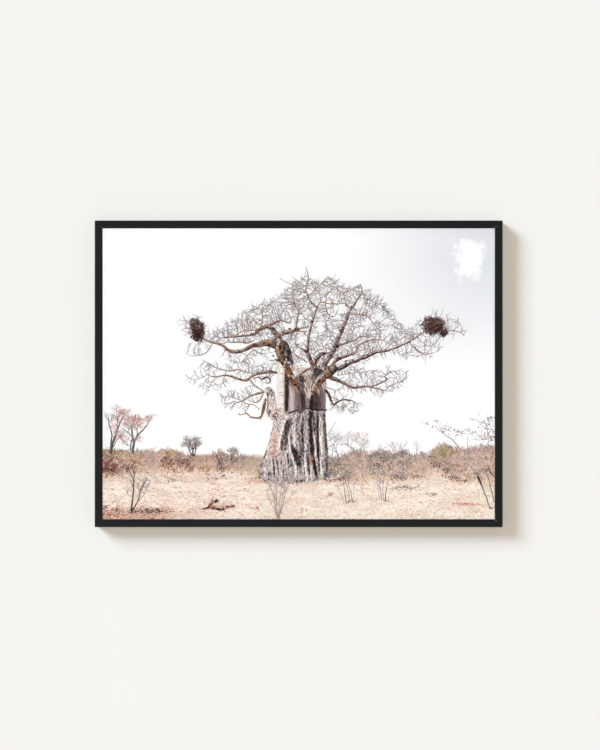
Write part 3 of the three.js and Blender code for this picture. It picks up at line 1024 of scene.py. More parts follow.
for knots, root_width, tip_width in RED_TREE_LIMBS:
    route = smooth_route(knots)
    stroke(far_trees, route, (root_width * 1.1, tip_width * 1.3), "mauve shadow, dark twig")
    stroke(far_trees, route + [-0.2, 0.1], (root_width * 0.4, tip_width * 0.4), "mauve")
    for _ in range(3):
        side = dice.choice([-1, 1])
        heading = math.pi / 2 + side * scatter(0.2, 1.0)
        fine = "pale twig, lilac scrub, twig"
        for tip in shoot(far_trees, route[-1 - dice.randint(0, 5)], heading, 8, 0.8, 2, fine):
            clump(far_trees, tip, (3, 2), 2, "pink leaf, lilac scrub, pale twig", 1.0)
# Each head of thin leaves: centre, reach, marks.
RED_HEADS = [
    ((-267, 104), (12, 6), 110), ((-270, 94), (14, 7), 80), ((-280, 82), (14, 6), 60),
    ((-248, 94), (12, 5), 120), ((-240, 91), (12, 6), 60), ((-248, 82), (14, 5), 80),
    ((-262, 86), (6, 5), 34), ((-270, 68), (7, 6), 44), ((-242, 64), (8, 5), 36),
    ((-264, 60), (6, 5), 22), ((-228, 94), (8, 5), 26), ((-276, 74), (6, 5), 24),
]
for centre, reach, count in RED_HEADS:
    for _ in range(count):
        inks = "pink leaf, red leaf, pink leaf, pale rust, mauve pale, lilac scrub"
        spot = around(centre, reach)
        dab(far_trees, spot, scatter(1.0, 2.1), dice.gauss(0.3, 0.7), inks)
        if dice.random() < 0.4:
            scribble(far_trees, spot, (2, 2), 1, "lilac scrub, twig, pink leaf", 4.0, 0.5)

GREY_STEMS = "grey twig, twig, bark dark, mauve shadow"
ROSE_STEMS = "pale twig, rose bark, mauve grey"
PALE_STEMS = "pale twig, pale twig, grey twig"
# Each tree: foot, height of the first stem, heading, width, forks, stem inks, leaf inks, leaves.
FAR_TREES = [
    ((-158, 36), 15, 1.6, 2.6, 4, GREY_STEMS,
     "moss, bark grey, tan", 1),
    ((-159, 37), 13, 2.1, 1.8, 3, GREY_STEMS,
     "moss, tan, olive leaf, bark grey", 4),
    ((-157, 37), 13, 1.1, 1.8, 3, GREY_STEMS,
     "moss, bark grey, tan", 3),
    ((-100, 30), 9, 1.6, 1.6, 3, "grey twig, twig, dark twig", "bark mid, moss", 3),
    ((-98, 34), 7, 1.2, 1.2, 2, "grey twig, twig, dark twig", "bark mid, moss", 3),
    ((-84, 28), 6, 1.5, 1.2, 2, "grey twig, twig, scrub shadow", "bark grey, moss", 3),
    ((-118, 26), 13, 1.6, 1.4, 2, "twig, dark twig, maroon", ["mauve"], 1),
    ((52, 30), 22, 1.3, 1.2, 4, "pale twig, grey twig, grey twig", ["pale twig"], 0),
    ((66, 30), 20, 1.9, 1.0, 4, "pale twig, grey twig, mauve grey", ["pale twig"], 0),
    ((92, 34), 20, 2.1, 1.2, 4, ROSE_STEMS, ["rose bark"], 1),
    ((94, 34), 18, 1.4, 1.0, 4, ROSE_STEMS, ["rose bark"], 1),
    ((108, 32), 17, 1.8, 1.0, 3, ROSE_STEMS, ["rose bark"], 1),
    ((154, 34), 15, 2.0, 1.0, 3, PALE_STEMS, ["pale twig"], 0),
    ((156, 36), 12, 1.2, 0.9, 3, PALE_STEMS, ["pale twig"], 0),
    ((183, 34), 12, 1.6, 0.9, 3, PALE_STEMS, ["pale twig"], 0),
]
for foot, height, heading, width, forks, trunk_inks, leaf_inks, per_tip in FAR_TREES:
    for tip in shoot(far_trees, foot, heading, height, width, forks, trunk_inks):
        for _ in range(per_tip):
            dab(far_trees, around(tip, (3, 2.4)), scatter(0.8, 1.5), scatter(0, 3), leaf_inks)
THICKET_STEMS = [
    ([(65, 30), (61, 45), (56, 56)], "mauve grey"), ([(95, 34), (91, 44), (79, 54)], "mauve"),
    ([(97, 34), (100, 50), (108, 60)], "mauve grey"), ([(44, 66), (52, 76), (60, 90)], "grey twig"),
    ([(44, 58), (56, 64), (66, 72)], "grey twig"), ([(78, 54), (79, 66), (83, 76)], "twig"),
    ([(44, 46), (52, 52), (58, 55)], "twig"), ([(60, 60), (72, 66), (80, 74)], "grey twig"),
    ([(93, 74), (98, 64), (101, 62)], "mauve grey"), ([(146, 58), (151, 46), (155, 38)], "earth"),
    ([(189, 44), (192, 40), (195, 34)], "bark shadow"), ([(66, 54), (74, 55), (79, 54)], "twig"),
]
for knots, ink in THICKET_STEMS:
    stroke(far_trees, smooth_route(knots), (1.1, 0.6), ink)
# The leaning trees by the right edge, and the loose leaves that hang round them.
LEANING_STEMS = [
    ([(249, 48), (239, 61), (226, 70), (214, 81), (208, 84)], 2.0, 0.5, "bark grey"),
    ([(226, 70), (222, 76), (213, 92)], 0.8, 0.4, "grey twig"),
    ([(262, 48), (261, 60), (263, 72)], 0.9, 0.4, "grey twig"),
    ([(300, 60), (292, 74), (289, 86), (272, 92)], 0.9, 0.4, "grey twig"),
    ([(303, 70), (297, 82), (294, 94)], 0.8, 0.4, "grey twig"),
    ([(240, 60), (247, 70), (254, 76)], 0.7, 0.4, "grey twig"),
]
for knots, root_width, tip_width, ink in LEANING_STEMS:
    stroke(far_trees, smooth_route(knots), (root_width, tip_width), ink)
LOOSE_LEAVES = [
    ((199, 87), (5, 3), 7), ((213, 92), (6, 4), 9), ((206, 82), (6, 3), 6), ((226, 76), (12, 6), 26),
    ((232, 82), (6, 4), 10), ((248, 73), (14, 5), 34), ((262, 76), (8, 4), 12), ((270, 73), (6, 3), 8),
    ((279, 100), (2, 2), 3), ((268, 93), (6, 2), 7), ((290, 87), (12, 8), 44), ((299, 96), (7, 5), 18),
    ((284, 66), (18, 6), 60), ((292, 76), (14, 6), 30), ((297, 64), (10, 8), 50),
]
for centre, reach, count in LOOSE_LEAVES:
    inks = "bark mid, mauve, stone, stone, scrub brown, mauve shadow, pale rust"
    for _ in range(int(count * 1.3)):
        dab(far_trees, around(centre, reach), scatter(1.3, 2.2), scatter(0, 3), inks)

# ---- Boughs ----
# Heavy crooked boughs leave the fork, pale along their lit upper side, brown below, with knots
# and short stubs where smaller limbs broke away. Their inks run from a bough's edge to its light.
WARM = ("umber", "scrub brown", "sand", "rose bark")
OCHRE = ("brown", "tan", "ochre", "fawn")
PALE = ("umber", "stone", "rose bark", "bleached")
ROSE = ("brown", "stone", "rose bark", "rose pale")
DULL = ("mauve shadow", "stone", "mauve pale", "bark cream")
SLATE = ("soot", "bark dark", "bark mid", "bark grey")
CHARRED = ("soot", "umber", "brown", "tan")
# Each bough: its route from the root, its widths, its inks.
BOUGHS = [
    # The left leader and what leaves it.
    ([(5, 122), (3, 132), (-2, 147), (-10, 163), (-17, 176), (-23, 186)],
     (0.8, 6, 11.5, 11.5, 11, 11), OCHRE),
    ([(25, 130), (31, 142), (40, 153), (54, 163)], (1, 6, 6.5, 1), OCHRE),
    ([(-21, 183), (-25, 194), (-26, 205), (-30, 213), (-36, 209)], (9, 13, 14, 13, 9), WARM),
    ([(-5, 178), (-10, 187), (-15, 197), (-18, 206), (-21, 213)], (1.5, 8, 12, 12, 6), SLATE),
    ([(-27, 206), (-47, 210), (-64, 206), (-77, 201), (-91, 197), (-104, 199), (-112, 205),
      (-121, 209), (-133, 212), (-146, 218)],
     (12, 11, 9.5, 8, 6, 5, 4.2, 3.6, 3.2, 2.4), WARM),
    ([(-28, 214), (-37, 230), (-47, 235), (-58, 230), (-68, 223), (-88, 220), (-118, 217)],
     (7, 6.5, 6, 4, 3, 2.4, 1.2), WARM),
    ([(-46, 234), (-34, 241), (-23, 244), (-11, 241), (-9, 247)], (5, 4.5, 3, 2.4, 1.2), WARM),
    ([(-56, 230), (-70, 229), (-84, 227), (-92, 223), (-100, 220)], (2.6, 2.2, 1.8, 1.2), WARM),
    ([(-55, 231), (-53, 243), (-53, 254), (-58, 265)], (2.4, 2, 1.6, 0.9), WARM),
    ([(-91, 230), (-91, 220), (-96, 217), (-97, 210)], (1.6, 1.6, 1.4, 1.2), WARM),
    ([(-109, 211), (-92, 211), (-76, 210), (-66, 213)], (1, 2, 2.4, 2.2), WARM),
    ([(-66, 200), (-76, 190), (-85, 180), (-90, 178), (-89, 172)], (2, 1.6, 1.3, 1, 0.7), WARM),
    ([(-93, 197), (-83, 194), (-77, 190)], (1.8, 1.3, 0.8), WARM),
    ([(-128, 210), (-140, 194), (-151, 191), (-161, 190), (-169, 194)], (1.6, 1.5, 1.3, 1, 0.6), DULL),
    ([(-30, 214), (-21, 225), (-4, 229), (8, 233), (19, 235)], (9, 6.5, 5.5, 3, 1.5), WARM),
    ([(-3, 228), (6, 228), (17, 227)], (3, 2.4, 1.2), WARM),
    ([(-1, 230), (0, 245), (3, 256), (-3, 270), (-5, 286), (-7, 303)],
     (3.6, 3, 2.4, 2, 1.5, 0.9), ROSE),
    ([(-7, 299), (-18, 304), (-28, 309)], (1, 0.8, 0.5), DULL),
    # The crown and the fork.
    ([(25, 166), (23, 179), (18, 190), (16, 200), (17, 215), (20, 229), (23, 241), (27, 255),
      (30, 265), (22, 273), (17, 282), (14, 296), (18, 310), (14, 327)],
     (5, 6, 7, 5, 4.4, 4, 3.8, 3.4, 3, 2.6, 2.2, 1.8, 1.4, 0.7), ROSE),
    ([(3, 203), (9, 200), (15, 196), (19, 186)], (1.4, 4, 5.5, 3), WARM),
    ([(14, 296), (4, 303), (-7, 311)], (1.6, 1.2, 0.6), DULL),
    ([(18, 282), (33, 296), (49, 313)], (1.6, 1.2, 0.6), WARM),
    ([(30, 264), (38, 272), (50, 270), (73, 270)], (1.8, 1.6, 1.4, 1.2), WARM),
    ([(46, 283), (44, 271), (46, 258), (50, 250), (44, 240)], (1, 1.4, 1.6, 1.2), WARM),
    ([(26, 176), (31, 188), (40, 194), (48, 194), (57, 199)], (4.5, 6, 5, 2.4, 2), PALE),
    ([(26, 192), (32, 198), (41, 201), (39, 206)], (1.8, 1.6, 1.4, 0.9), WARM),
    ([(16, 180), (4, 188), (-9, 197)], (2.2, 2, 1.2), WARM),
    ([(30, 214), (33, 217), (33, 224)], (1.4, 1.2, 1.0), WARM),
    ([(4, 161), (14, 168), (26, 174), (36, 188)], (3.5, 3.6, 3, 2), OCHRE),
    # The right leader.
    ([(41, 168), (46, 181), (52, 190), (58, 202)], (8, 7.5, 6.5, 5.5), DULL),
    ([(56, 196), (60, 208), (64, 217), (69, 229), (73, 238), (78, 251), (83, 262), (91, 273),
      (100, 288), (97, 301)],
     (6, 8, 7, 6, 5.6, 5, 4, 3, 2, 0.8), ROSE),
    ([(83, 262), (74, 272), (73, 283), (63, 292), (58, 305), (59, 317)],
     (2.8, 2.6, 2.2, 1.8, 1.2, 0.7), ROSE),
    ([(83, 255), (98, 253), (109, 250), (119, 237), (127, 230)], (2.8, 2.2, 2, 1.4, 0.9), WARM),
    ([(100, 287), (106, 277), (118, 273), (130, 266)], (1.8, 1.6, 1.2, 0.7), WARM),
    ([(73, 238), (84, 240), (88, 232)], (1.4, 1.6, 1.2), DULL),
    # The right side.
    ([(24, 130), (28, 140), (34, 150), (43, 160), (55, 169), (68, 174), (80, 180), (95, 185),
      (106, 189), (117, 194), (138, 199), (153, 203), (168, 210), (180, 217), (194, 226)],
     (4, 10, 13, 13.5, 12, 9.5, 8, 6.5, 5.4, 4.6, 3.8, 3.4, 3, 2.6, 2), PALE),
    ([(50, 173), (62, 184), (76, 190), (90, 196), (93, 204), (102, 210), (114, 215), (132, 214)],
     (4, 6, 4.5, 3.6, 2.6, 2.2, 1.6, 0.9), WARM),
    ([(58, 204), (76, 210), (88, 214), (98, 220), (112, 218)], (4.5, 3.4, 2.6, 1.8, 1), ROSE),
    ([(138, 200), (146, 210), (160, 216), (166, 222), (163, 236)], (1.6, 1.4, 1.2, 0.8), DULL),
    ([(172, 211), (184, 199), (196, 192), (214, 196)], (1.8, 1.8, 1.2, 0.6), WARM),
    ([(166, 206), (170, 194), (183, 188)], (1.2, 1, 0.5), DULL),
    ([(184, 218), (198, 207), (216, 202)], (1.3, 1, 0.5), DULL),
    ([(226, 226), (236, 228), (248, 227), (257, 221)], (2.4, 1.6, 1.2, 0.7), WARM),
    ([(240, 228), (247, 236), (252, 238)], (1, 0.8, 0.6), WARM),
    # Low on the left.
    ([(-30, 164), (-46, 165), (-62, 162), (-71, 157), (-76, 153), (-85, 154), (-99, 158),
      (-110, 160), (-123, 158), (-132, 159), (-137, 162)],
     (4, 5, 5, 4.4, 4, 3.4, 3, 2.6, 2.2, 2, 1.2), WARM),
    ([(-66, 163), (-80, 166), (-90, 169), (-106, 167), (-123, 172), (-135, 178), (-145, 184)],
     (1.8, 2, 2.2, 2, 1.8, 1.4, 0.7), DULL),
    ([(-108, 167), (-110, 159), (-114, 149), (-117, 139)], (1.6, 1.4, 1, 0.5), DULL),
    ([(-134, 158), (-141, 149), (-145, 138)], (1.5, 1.1, 0.5), DULL),
    ([(-137, 161), (-146, 157), (-156, 153), (-165, 157), (-171, 160)], (1.4, 1.2, 0.9, 0.5), DULL),
    ([(-125, 157), (-132, 145), (-137, 136)], (1.2, 1, 0.5), DULL),
    ([(-67, 156), (-57, 157), (-54, 154), (-46, 158), (-40, 153), (-41, 150), (-45, 147)],
     (1, 1.6, 2.2, 3, 2.6, 2, 1.2), CHARRED),
    ([(-71, 153), (-64, 144), (-52, 136)], (2.4, 2.2, 2), WARM),
    ([(-50, 135), (-67, 130), (-83, 122), (-91, 119), (-97, 121)], (3.4, 3, 2.6, 2, 1.2), WARM),
    ([(-86, 122), (-97, 126), (-109, 128), (-118, 128)], (1.5, 1.3, 1, 0.6), DULL),
    ([(-51, 134), (-56, 123), (-62, 119), (-71, 121), (-76, 123)], (2, 1.8, 1.6, 1.2, 0.6), WARM),
    ([(-85, 121), (-75, 116), (-66, 115), (-56, 108)], (1.3, 1.4, 1.2, 1), DULL),
    ([(-47, 125), (-50, 115), (-52, 106), (-54, 97), (-62, 95), (-72, 96)],
     (3, 4.8, 4.6, 3.4, 2.4, 2), OCHRE),
    ([(-71, 97), (-78, 102), (-83, 100), (-90, 101)], (2, 2.2, 1.4, 1), WARM),
    # Low on the right.
    ([(48, 164), (54, 156), (64, 152), (74, 147), (84, 142), (96, 143), (110, 143), (126, 140),
      (135, 137)],
     (7, 6, 5, 4.6, 4.4, 3.2, 2.6, 2.4, 1.8), WARM),
    ([(46, 156), (58, 155), (70, 150), (80, 144)], (2.4, 2.4, 2.2, 2), DULL),
    ([(110, 143), (124, 146), (134, 151), (139, 154), (135, 158), (140, 163), (148, 167)],
     (2, 1.8, 2, 2.2, 2, 1.4, 0.8), CHARRED),
    ([(135, 137), (141, 143), (148, 147), (160, 150)], (1.5, 1.2, 0.9, 0.5), DULL),
    ([(62, 160), (80, 163), (96, 165), (116, 168)], (1.4, 1.4, 1, 0.5), DULL),
    ([(44, 138), (50, 129), (53, 121), (57, 115), (64, 120), (74, 123), (86, 121), (92, 117)],
     (4, 3.6, 3.2, 2.8, 2.2, 1.8, 1.4, 0.8), CHARRED),
    ([(70, 120), (76, 112), (82, 102)], (1.2, 1, 0.5), DULL),
    ([(45, 142), (54, 139), (66, 136)], (1.4, 1.1, 0.5), DULL),
]
boughs = new_layer("picture_boughs", 0.62, 0.74)
LIGHT_FROM = np.array([-0.5, 0.86])
SLIM = 3.2  # a bough thinner than this has no dark edge
PATCHED_FROM = 1.8  # the width from which a bough shows patches of light and shade


def value_noise(count, run):
    """Smooth seeded noise from -1 to 1, with a new value every run points."""
    marks = [scatter(-1, 1) for _ in range(count // run + 3)]
    return np.interp(np.arange(count) / run, range(len(marks)), marks)


def lit_side(route):
    """Unit steps sideways from a route, always towards its lit side."""
    ahead = np.gradient(route, axis=0)
    ahead /= np.linalg.norm(ahead, axis=1, keepdims=True) + TINY
    aside = np.stack([-ahead[:, 1], ahead[:, 0]], axis=1)
    return aside * np.where(aside @ LIGHT_FROM < 0, -1, 1)[:, None]


def draw_bough(route, widths, inks):
    """A crooked rounded bough: dark edge, body, broken light on its lit side, shade and cracks."""
    edge, body, light, bright = inks
    aside = lit_side(route)
    widths = widths * (1 + 0.16 * value_noise(len(route), 3))
    if widths.max() < SLIM:
        edge, body = "scrub brown" if edge != "soot" else "mauve shadow", light
    stroke(boughs, route, widths, edge)
    stroke(boughs, route + aside * (widths * 0.09)[:, None], widths * 0.82, body)
    stroke(boughs, route + aside * (widths * 0.17)[:, None], widths * 0.5, light)
    i = 0
    while i < len(route) - 2:
        n = dice.randint(2, 4)
        part = slice(i, i + n)
        i += n - 1
        if len(route[part]) < 2 or widths[part][0] < PATCHED_FROM:
            continue
        # Light on the lit side, shade on the other, and cracks: where, how wide, inks, how often.
        for low, high, share, ink, chance in (
            (0.16, 0.36, 0.26, [bright, bright, light, "rose bark"], 0.8),
            (-0.40, -0.05, 0.26, [edge, edge, "umber", body], 0.7),
            (-0.10, 0.30, 0.14, [edge, body, "soot", "stone"], 0.4),
        ):
            if dice.random() < chance:
                shift = (widths[part] * scatter(low, high))[:, None]
                lay = route[part] + aside[part] * shift
                stroke(boughs, lay, widths[part] * share, ink)


bough_routes = []
for knots, widths, _ in BOUGHS:
    route = smooth_route(knots)
    spread = np.interp(np.linspace(0, 1, len(route)), np.linspace(0, 1, len(widths)), widths)
    sway = np.minimum(0.9, 0.35 + spread * 0.1) * value_noise(len(route), 3)
    route += lit_side(route) * sway[:, None]
    bough_routes.append((route, spread))
for (route, widths), (_, _, inks) in reversed(list(zip(bough_routes, BOUGHS))):
    draw_bough(route, widths, inks)
KNOT_SPACING = 16.0
for route, widths in bough_routes:
    walked = scatter(0, KNOT_SPACING)
    for i in range(2, len(route) - 1):
        walked += np.linalg.norm(route[i] - route[i - 1])
        if walked < KNOT_SPACING:
            continue
        walked = scatter(-6, 6)
        ahead = route[i] - route[i - 1]
        lean = math.atan2(ahead[1], ahead[0]) + dice.choice([-1, 1]) * scatter(0.6, 1.5)
        out = leaning(lean)
        tip = route[i] + out * (widths[i] / 2 + scatter(1, 3))
        stroke(boughs, [route[i], tip], (min(2.2, widths[i] * 0.5), 0.6), "umber, brown")
        dab(boughs, route[i], min(3.4, 0.8 + widths[i] * 0.4), scatter(0, 3), "umber, soot")
# Old wounds, near black: centre, reach.
WOUNDS = [
    ((-28, 184), (4.2, 3.4)), ((-64, 206), (3.6, 3.0)), ((-36, 190), (1.5, 1.2)),
    ((-1, 231), (2.4, 2.2)), ((-11, 231), (1.8, 1.6)), ((-37, 232), (3.4, 2.0)),
    ((14, 197), (2.4, 2.6)), ((21, 184), (1.8, 2.6)),
    ((42, 193), (2.4, 2.2)), ((62, 204), (3.0, 2.4)), ((-9, 155), (1.2, 1.2)), ((-2, 146), (2.4, 1.8)),
    ((68, 228), (1.8, 2.6)), ((24, 242), (1.6, 2.0)), ((-25, 203), (2.4, 5.0)), ((66, 186), (5.0, 1.8)),
]
for centre, reach in WOUNDS:
    for _ in range(int(10 + 6 * reach[0] * reach[1] / 3)):
        dab(boughs, around(centre, reach), scatter(1.2, 2.4), scatter(0, 3), "umber, soot, umber")

# ---- Twigs ----
# The tree is leafless. Twigs grow from the boughs towards seeded goals that fill the crown, each
# step a little crooked, so that they branch, cross and thin out as living twigs do. Three tangles
# are grown, two behind the boughs and one before them.
CROWN = {
    "dome": [
        (-132, 226), (-124, 232), (-112, 236), (-93, 248), (-71, 265), (-50, 273), (-38, 274),
        (-24, 284), (-9, 297), (13, 314), (32, 304), (56, 310), (77, 295), (97, 295), (126, 280),
        (138, 264), (155, 240), (178, 230), (176, 212), (134, 201), (93, 190), (62, 186), (30, 182),
        (4, 178), (-14, 190), (-20, 206), (-54, 212), (-112, 207), (-130, 216),
    ],
    "under the left bough": [
        (-62, 202), (-32, 200), (-31, 168), (-60, 172), (-90, 174), (-118, 192), (-100, 197),
    ],
    "left trail": [(-142, 212), (-130, 206), (-150, 188), (-170, 190), (-174, 204), (-160, 210)],
    "left nest": [
        (-166, 250), (-150, 252), (-134, 232), (-128, 214), (-148, 208), (-176, 226), (-184, 244),
    ],
    "lower left": [
        (-145, 184), (-120, 177), (-88, 172), (-50, 176), (-36, 168), (-40, 146), (-62, 150),
        (-100, 152), (-120, 136), (-142, 134), (-160, 146), (-172, 158), (-150, 166),
    ],
    "lower left third": [
        (-122, 130), (-96, 138), (-66, 142), (-56, 126), (-70, 104), (-86, 108), (-108, 114),
    ],
    "lower right": [
        (52, 170), (66, 178), (92, 172), (118, 170), (146, 172), (170, 166), (174, 152), (160, 142),
        (130, 130), (104, 132), (76, 138), (60, 148),
    ],
    "lower right hook": [
        (46, 144), (70, 140), (76, 126), (96, 122), (102, 112), (84, 100), (66, 106), (48, 108),
    ],
    "right bough": [
        (176, 228), (192, 224), (220, 206), (222, 194), (196, 184), (168, 184), (140, 190),
        (110, 182), (96, 176), (92, 184), (140, 200), (164, 210),
    ],
    "right nest": [
        (160, 222), (180, 240), (196, 254), (218, 262), (232, 252), (258, 238), (262, 220),
        (240, 218), (214, 216), (190, 226),
    ],
}
# How closely goals lie, as the mean gap between them in mm.
GOAL_GAP = {
    "dome": 3.9, "under the left bough": 6.2, "left trail": 11.0, "left nest": 7.6,
    "lower left": 7.0, "lower left third": 7.2, "lower right": 6.0, "lower right hook": 7.0,
    "right bough": 7.0, "right nest": 9.0,
}
# Patches of open sky inside the crown: centre, reach.
SKY_GAPS = [
    ((-10, 236), (13, 7)), ((8, 216), (7, 9)), ((36, 232), (6, 12)), ((67, 262), (8, 7)),
    ((110, 238), (11, 8)), ((-34, 191), (6, 8)), ((60, 247), (9, 6)), ((-54, 186), (10, 6)),
    ((8, 250), (6, 7)), ((126, 207), (12, 4)), ((22, 222), (5, 6)), ((122, 252), (14, 10)),
    ((140, 228), (12, 7)), ((98, 228), (7, 5)), ((60, 226), (6, 6)), ((96, 268), (6, 8)),
]
STEP = 2.4
PULL_REACH = 22.0  # how far off a goal can still draw a twig
CLEARED = 2.6  # how near a twig comes before its goal is met
CROOKED, OUTWARD = 0.34, 0.18  # how far each step strays, and how far it leans out of the crown
ROUNDS, MOST_JOINTS = 150, 40000
HEART = np.array([12.0, 160.0])
GAP_KEPT = 0.12  # of the goals in a patch of open sky
SPUR_CHANCE = 0.26  # at each joint of a twig
rng = np.random.default_rng(7)


def inside(points, outline):
    """Which points lie inside an outline."""
    within = np.zeros(len(points), bool)
    ends = np.roll(outline, -1, axis=0)
    for (x0, y0), (x1, y1) in zip(outline, ends):
        crosses = (y0 > points[:, 1]) != (y1 > points[:, 1])
        at = x0 + (points[:, 1] - y0) * (x1 - x0) / (y1 - y0 + TINY)
        within ^= crosses & (points[:, 0] < at)
    return within


def scatter_goals():
    """Seeded goals for twigs all over the crown, thinner where the sky shows."""
    goals = []
    for name, outline in CROWN.items():
        outline = np.array(outline, float)
        low, high = outline.min(axis=0), outline.max(axis=0)
        count = int(np.prod(high - low) / GOAL_GAP[name] ** 2)
        points = rng.uniform(low, high, (count, 2))
        points = points[inside(points, outline)]
        for centre, reach in SKY_GAPS:
            off = np.linalg.norm((points - centre) / np.array(reach), axis=1)
            points = points[(off > 1) | (rng.random(len(points)) < GAP_KEPT)]
        goals.append(points)
    return np.concatenate(goals)


def unit(step):
    """A step cut to length one."""
    return step / (np.linalg.norm(step) + TINY)


def grow(seeds, goals):
    """Twigs grown from seed points towards goals: every joint's place and its parent's number."""
    spots = [np.array(seed) for seed in seeds]
    parents = [-1] * len(spots)
    gaps = np.linalg.norm(goals[:, None] - np.array(spots)[None], axis=2)
    nearest, distance = gaps.argmin(axis=1), gaps.min(axis=1)
    alive = distance > CLEARED
    children = np.zeros(len(spots) + MOST_JOINTS, int)
    for _ in range(ROUNDS):
        live = alive & (distance < PULL_REACH)
        if not live.any():
            break
        here = np.array(spots)
        pulled = np.unique(nearest[live])
        towards = goals[live] - here[nearest[live]]
        towards /= np.linalg.norm(towards, axis=1, keepdims=True) + TINY
        pull = np.zeros_like(here)
        np.add.at(pull, nearest[live], towards)
        fresh = []
        for i in pulled:
            if children[i] > 2:
                alive[live & (nearest == i)] = False
                continue
            away = here[i] - HEART
            ahead = unit(pull[i]) + OUTWARD * away / np.linalg.norm(away)
            ahead = unit(ahead) + rng.normal(0, CROOKED, 2)
            fresh.append(here[i] + unit(ahead) * STEP)
            parents.append(i)
            children[i] += 1
        if not fresh:
            continue
        first = len(spots)
        spots += fresh
        gaps = np.linalg.norm(goals[:, None] - np.array(fresh)[None], axis=2)
        closer = gaps.min(axis=1) < distance
        nearest[closer] = first + gaps.argmin(axis=1)[closer]
        distance[closer] = gaps.min(axis=1)[closer]
        alive &= distance > CLEARED
    return np.array(spots), parents


def draw_twigs(layer, spots, parents):
    """Draws grown twigs as long chains, thicker where they carry more, with spurs at their sides."""
    load = np.zeros(len(spots))
    children = [[] for _ in spots]
    for i in range(len(spots) - 1, -1, -1):
        load[i] += not children[i]
        if parents[i] >= 0:
            load[parents[i]] += load[i]
            children[parents[i]].append(i)
    heaviest = [max(forks, key=lambda c: load[c], default=None) for forks in children]
    widths = np.minimum(2.3, 0.64 + 0.19 * (load - 1) ** 0.55)
    for i, parent in enumerate(parents):
        if parent < 0 or (parents[parent] >= 0 and i == heaviest[parent]):
            continue
        chain = [parent, i]
        while heaviest[chain[-1]] is not None:
            chain.append(heaviest[chain[-1]])
        width = widths[chain[1:]]
        heavy = width[0]
        if heavy > 1.3:
            ink = "brown twig, scrub brown, tan, brown"
        elif heavy > 0.85:
            ink = "brown twig, dark twig, twig, mauve grey"
        else:
            ink = "twig, grey twig, dark twig, twig, mauve grey"
        stroke(layer, spots[chain], (width[0], *width), ink)
        for a, b in zip(chain[1:], chain[2:]):
            if dice.random() < SPUR_CHANCE:
                ahead = spots[b] - spots[a]
                lean = math.atan2(ahead[1], ahead[0]) + dice.choice([-1, 1]) * scatter(0.5, 1.3)
                tip = spots[a] + leaning(lean) * scatter(2, 5.5)
                stroke(layer, [spots[a], tip], (0.7, 0.4), "twig, grey twig, dark twig")
        last = spots[chain[-1]] - spots[chain[-2]]
        outward = spots[chain[-1]] - HEART
        last = unit(last) + 0.5 * outward / np.linalg.norm(outward)
        heading = math.atan2(last[1], last[0])
        for _ in range(dice.choice([1, 1, 2])):
            lean = heading + dice.gauss(0, 0.4)
            tip = spots[chain[-1]] + leaning(lean) * scatter(3, 9)
            stroke(layer, [spots[chain[-1]], tip], (0.62, 0.35), "twig, grey twig, twig")


BARE_SHARE = 0.22  # of each stout bough, nearest its root, that carries no twigs
STOUT_ROOT = 2.6
seeds = []
for route, widths in bough_routes:
    first = int(len(route) * (0.0 if widths[0] < STOUT_ROOT else BARE_SHARE))
    seeds += list(route[first:])
back_twigs = new_layer("picture_twigs_behind", 0.32, 0.40)
front_twigs = new_layer("picture_twigs_before", 0.74, 0.82)
for layer in (back_twigs, back_twigs, front_twigs):
    draw_twigs(layer, *grow(seeds, scatter_goals()))

# ---- Trunk ----
# A massive fluted trunk: smooth mauve bark above, rough grey and bleached bark below a ragged line,
# a pale ringed stem on its left with a swollen stump beside it, and spreading roots at its foot.
TRUNK_LEFT = [
    (-8, -45), (-2, -51), (4, -54), (13, -56.5), (22, -55), (34, -51.5), (45, -47), (59, -42),
    (70, -39.5), (83, -36), (98, -33), (106, -30), (182, -30),
]
TRUNK_RIGHT = [(-8, 38), (2, 44), (12, 47), (30, 47.7), (44, 47.5), (62, 46), (95, 43.5), (182, 45)]
TRUNK_TOP = [
    (-57, 183), (-18, 182), (-13, 174), (-8, 165), (-2, 158), (6, 160), (24, 166), (28, 173),
    (42, 173), (48, 160),
]
TRUNK_FOOT = [(-57, 4), (-50, -2), (-40, -5), (-20, -6), (8, -5), (24, -4), (34, -2), (44, 1), (50, 6)]
RAGGED_LINE = [
    (-34, 92), (-20, 98), (-13, 103), (-8, 103), (-3, 105), (1, 107), (5, 102.5), (10, 105),
    (13, 109), (20, 109), (24, 106.5), (28, 108.5), (31, 106), (38, 107.5), (46, 106),
]
BARKS = {
    "rough": "soot, bark shadow, bark dark, bark mid, bark grey, bark pale, bark cream, bleached",
    "smooth": "soot, maroon, mauve shadow, mauve, mauve grey, mauve pale, rose bark, rose pale",
    "warm": "umber, mauve shadow, stone, mauve pale, rose bark, rose bark, rose pale, bleached",
}
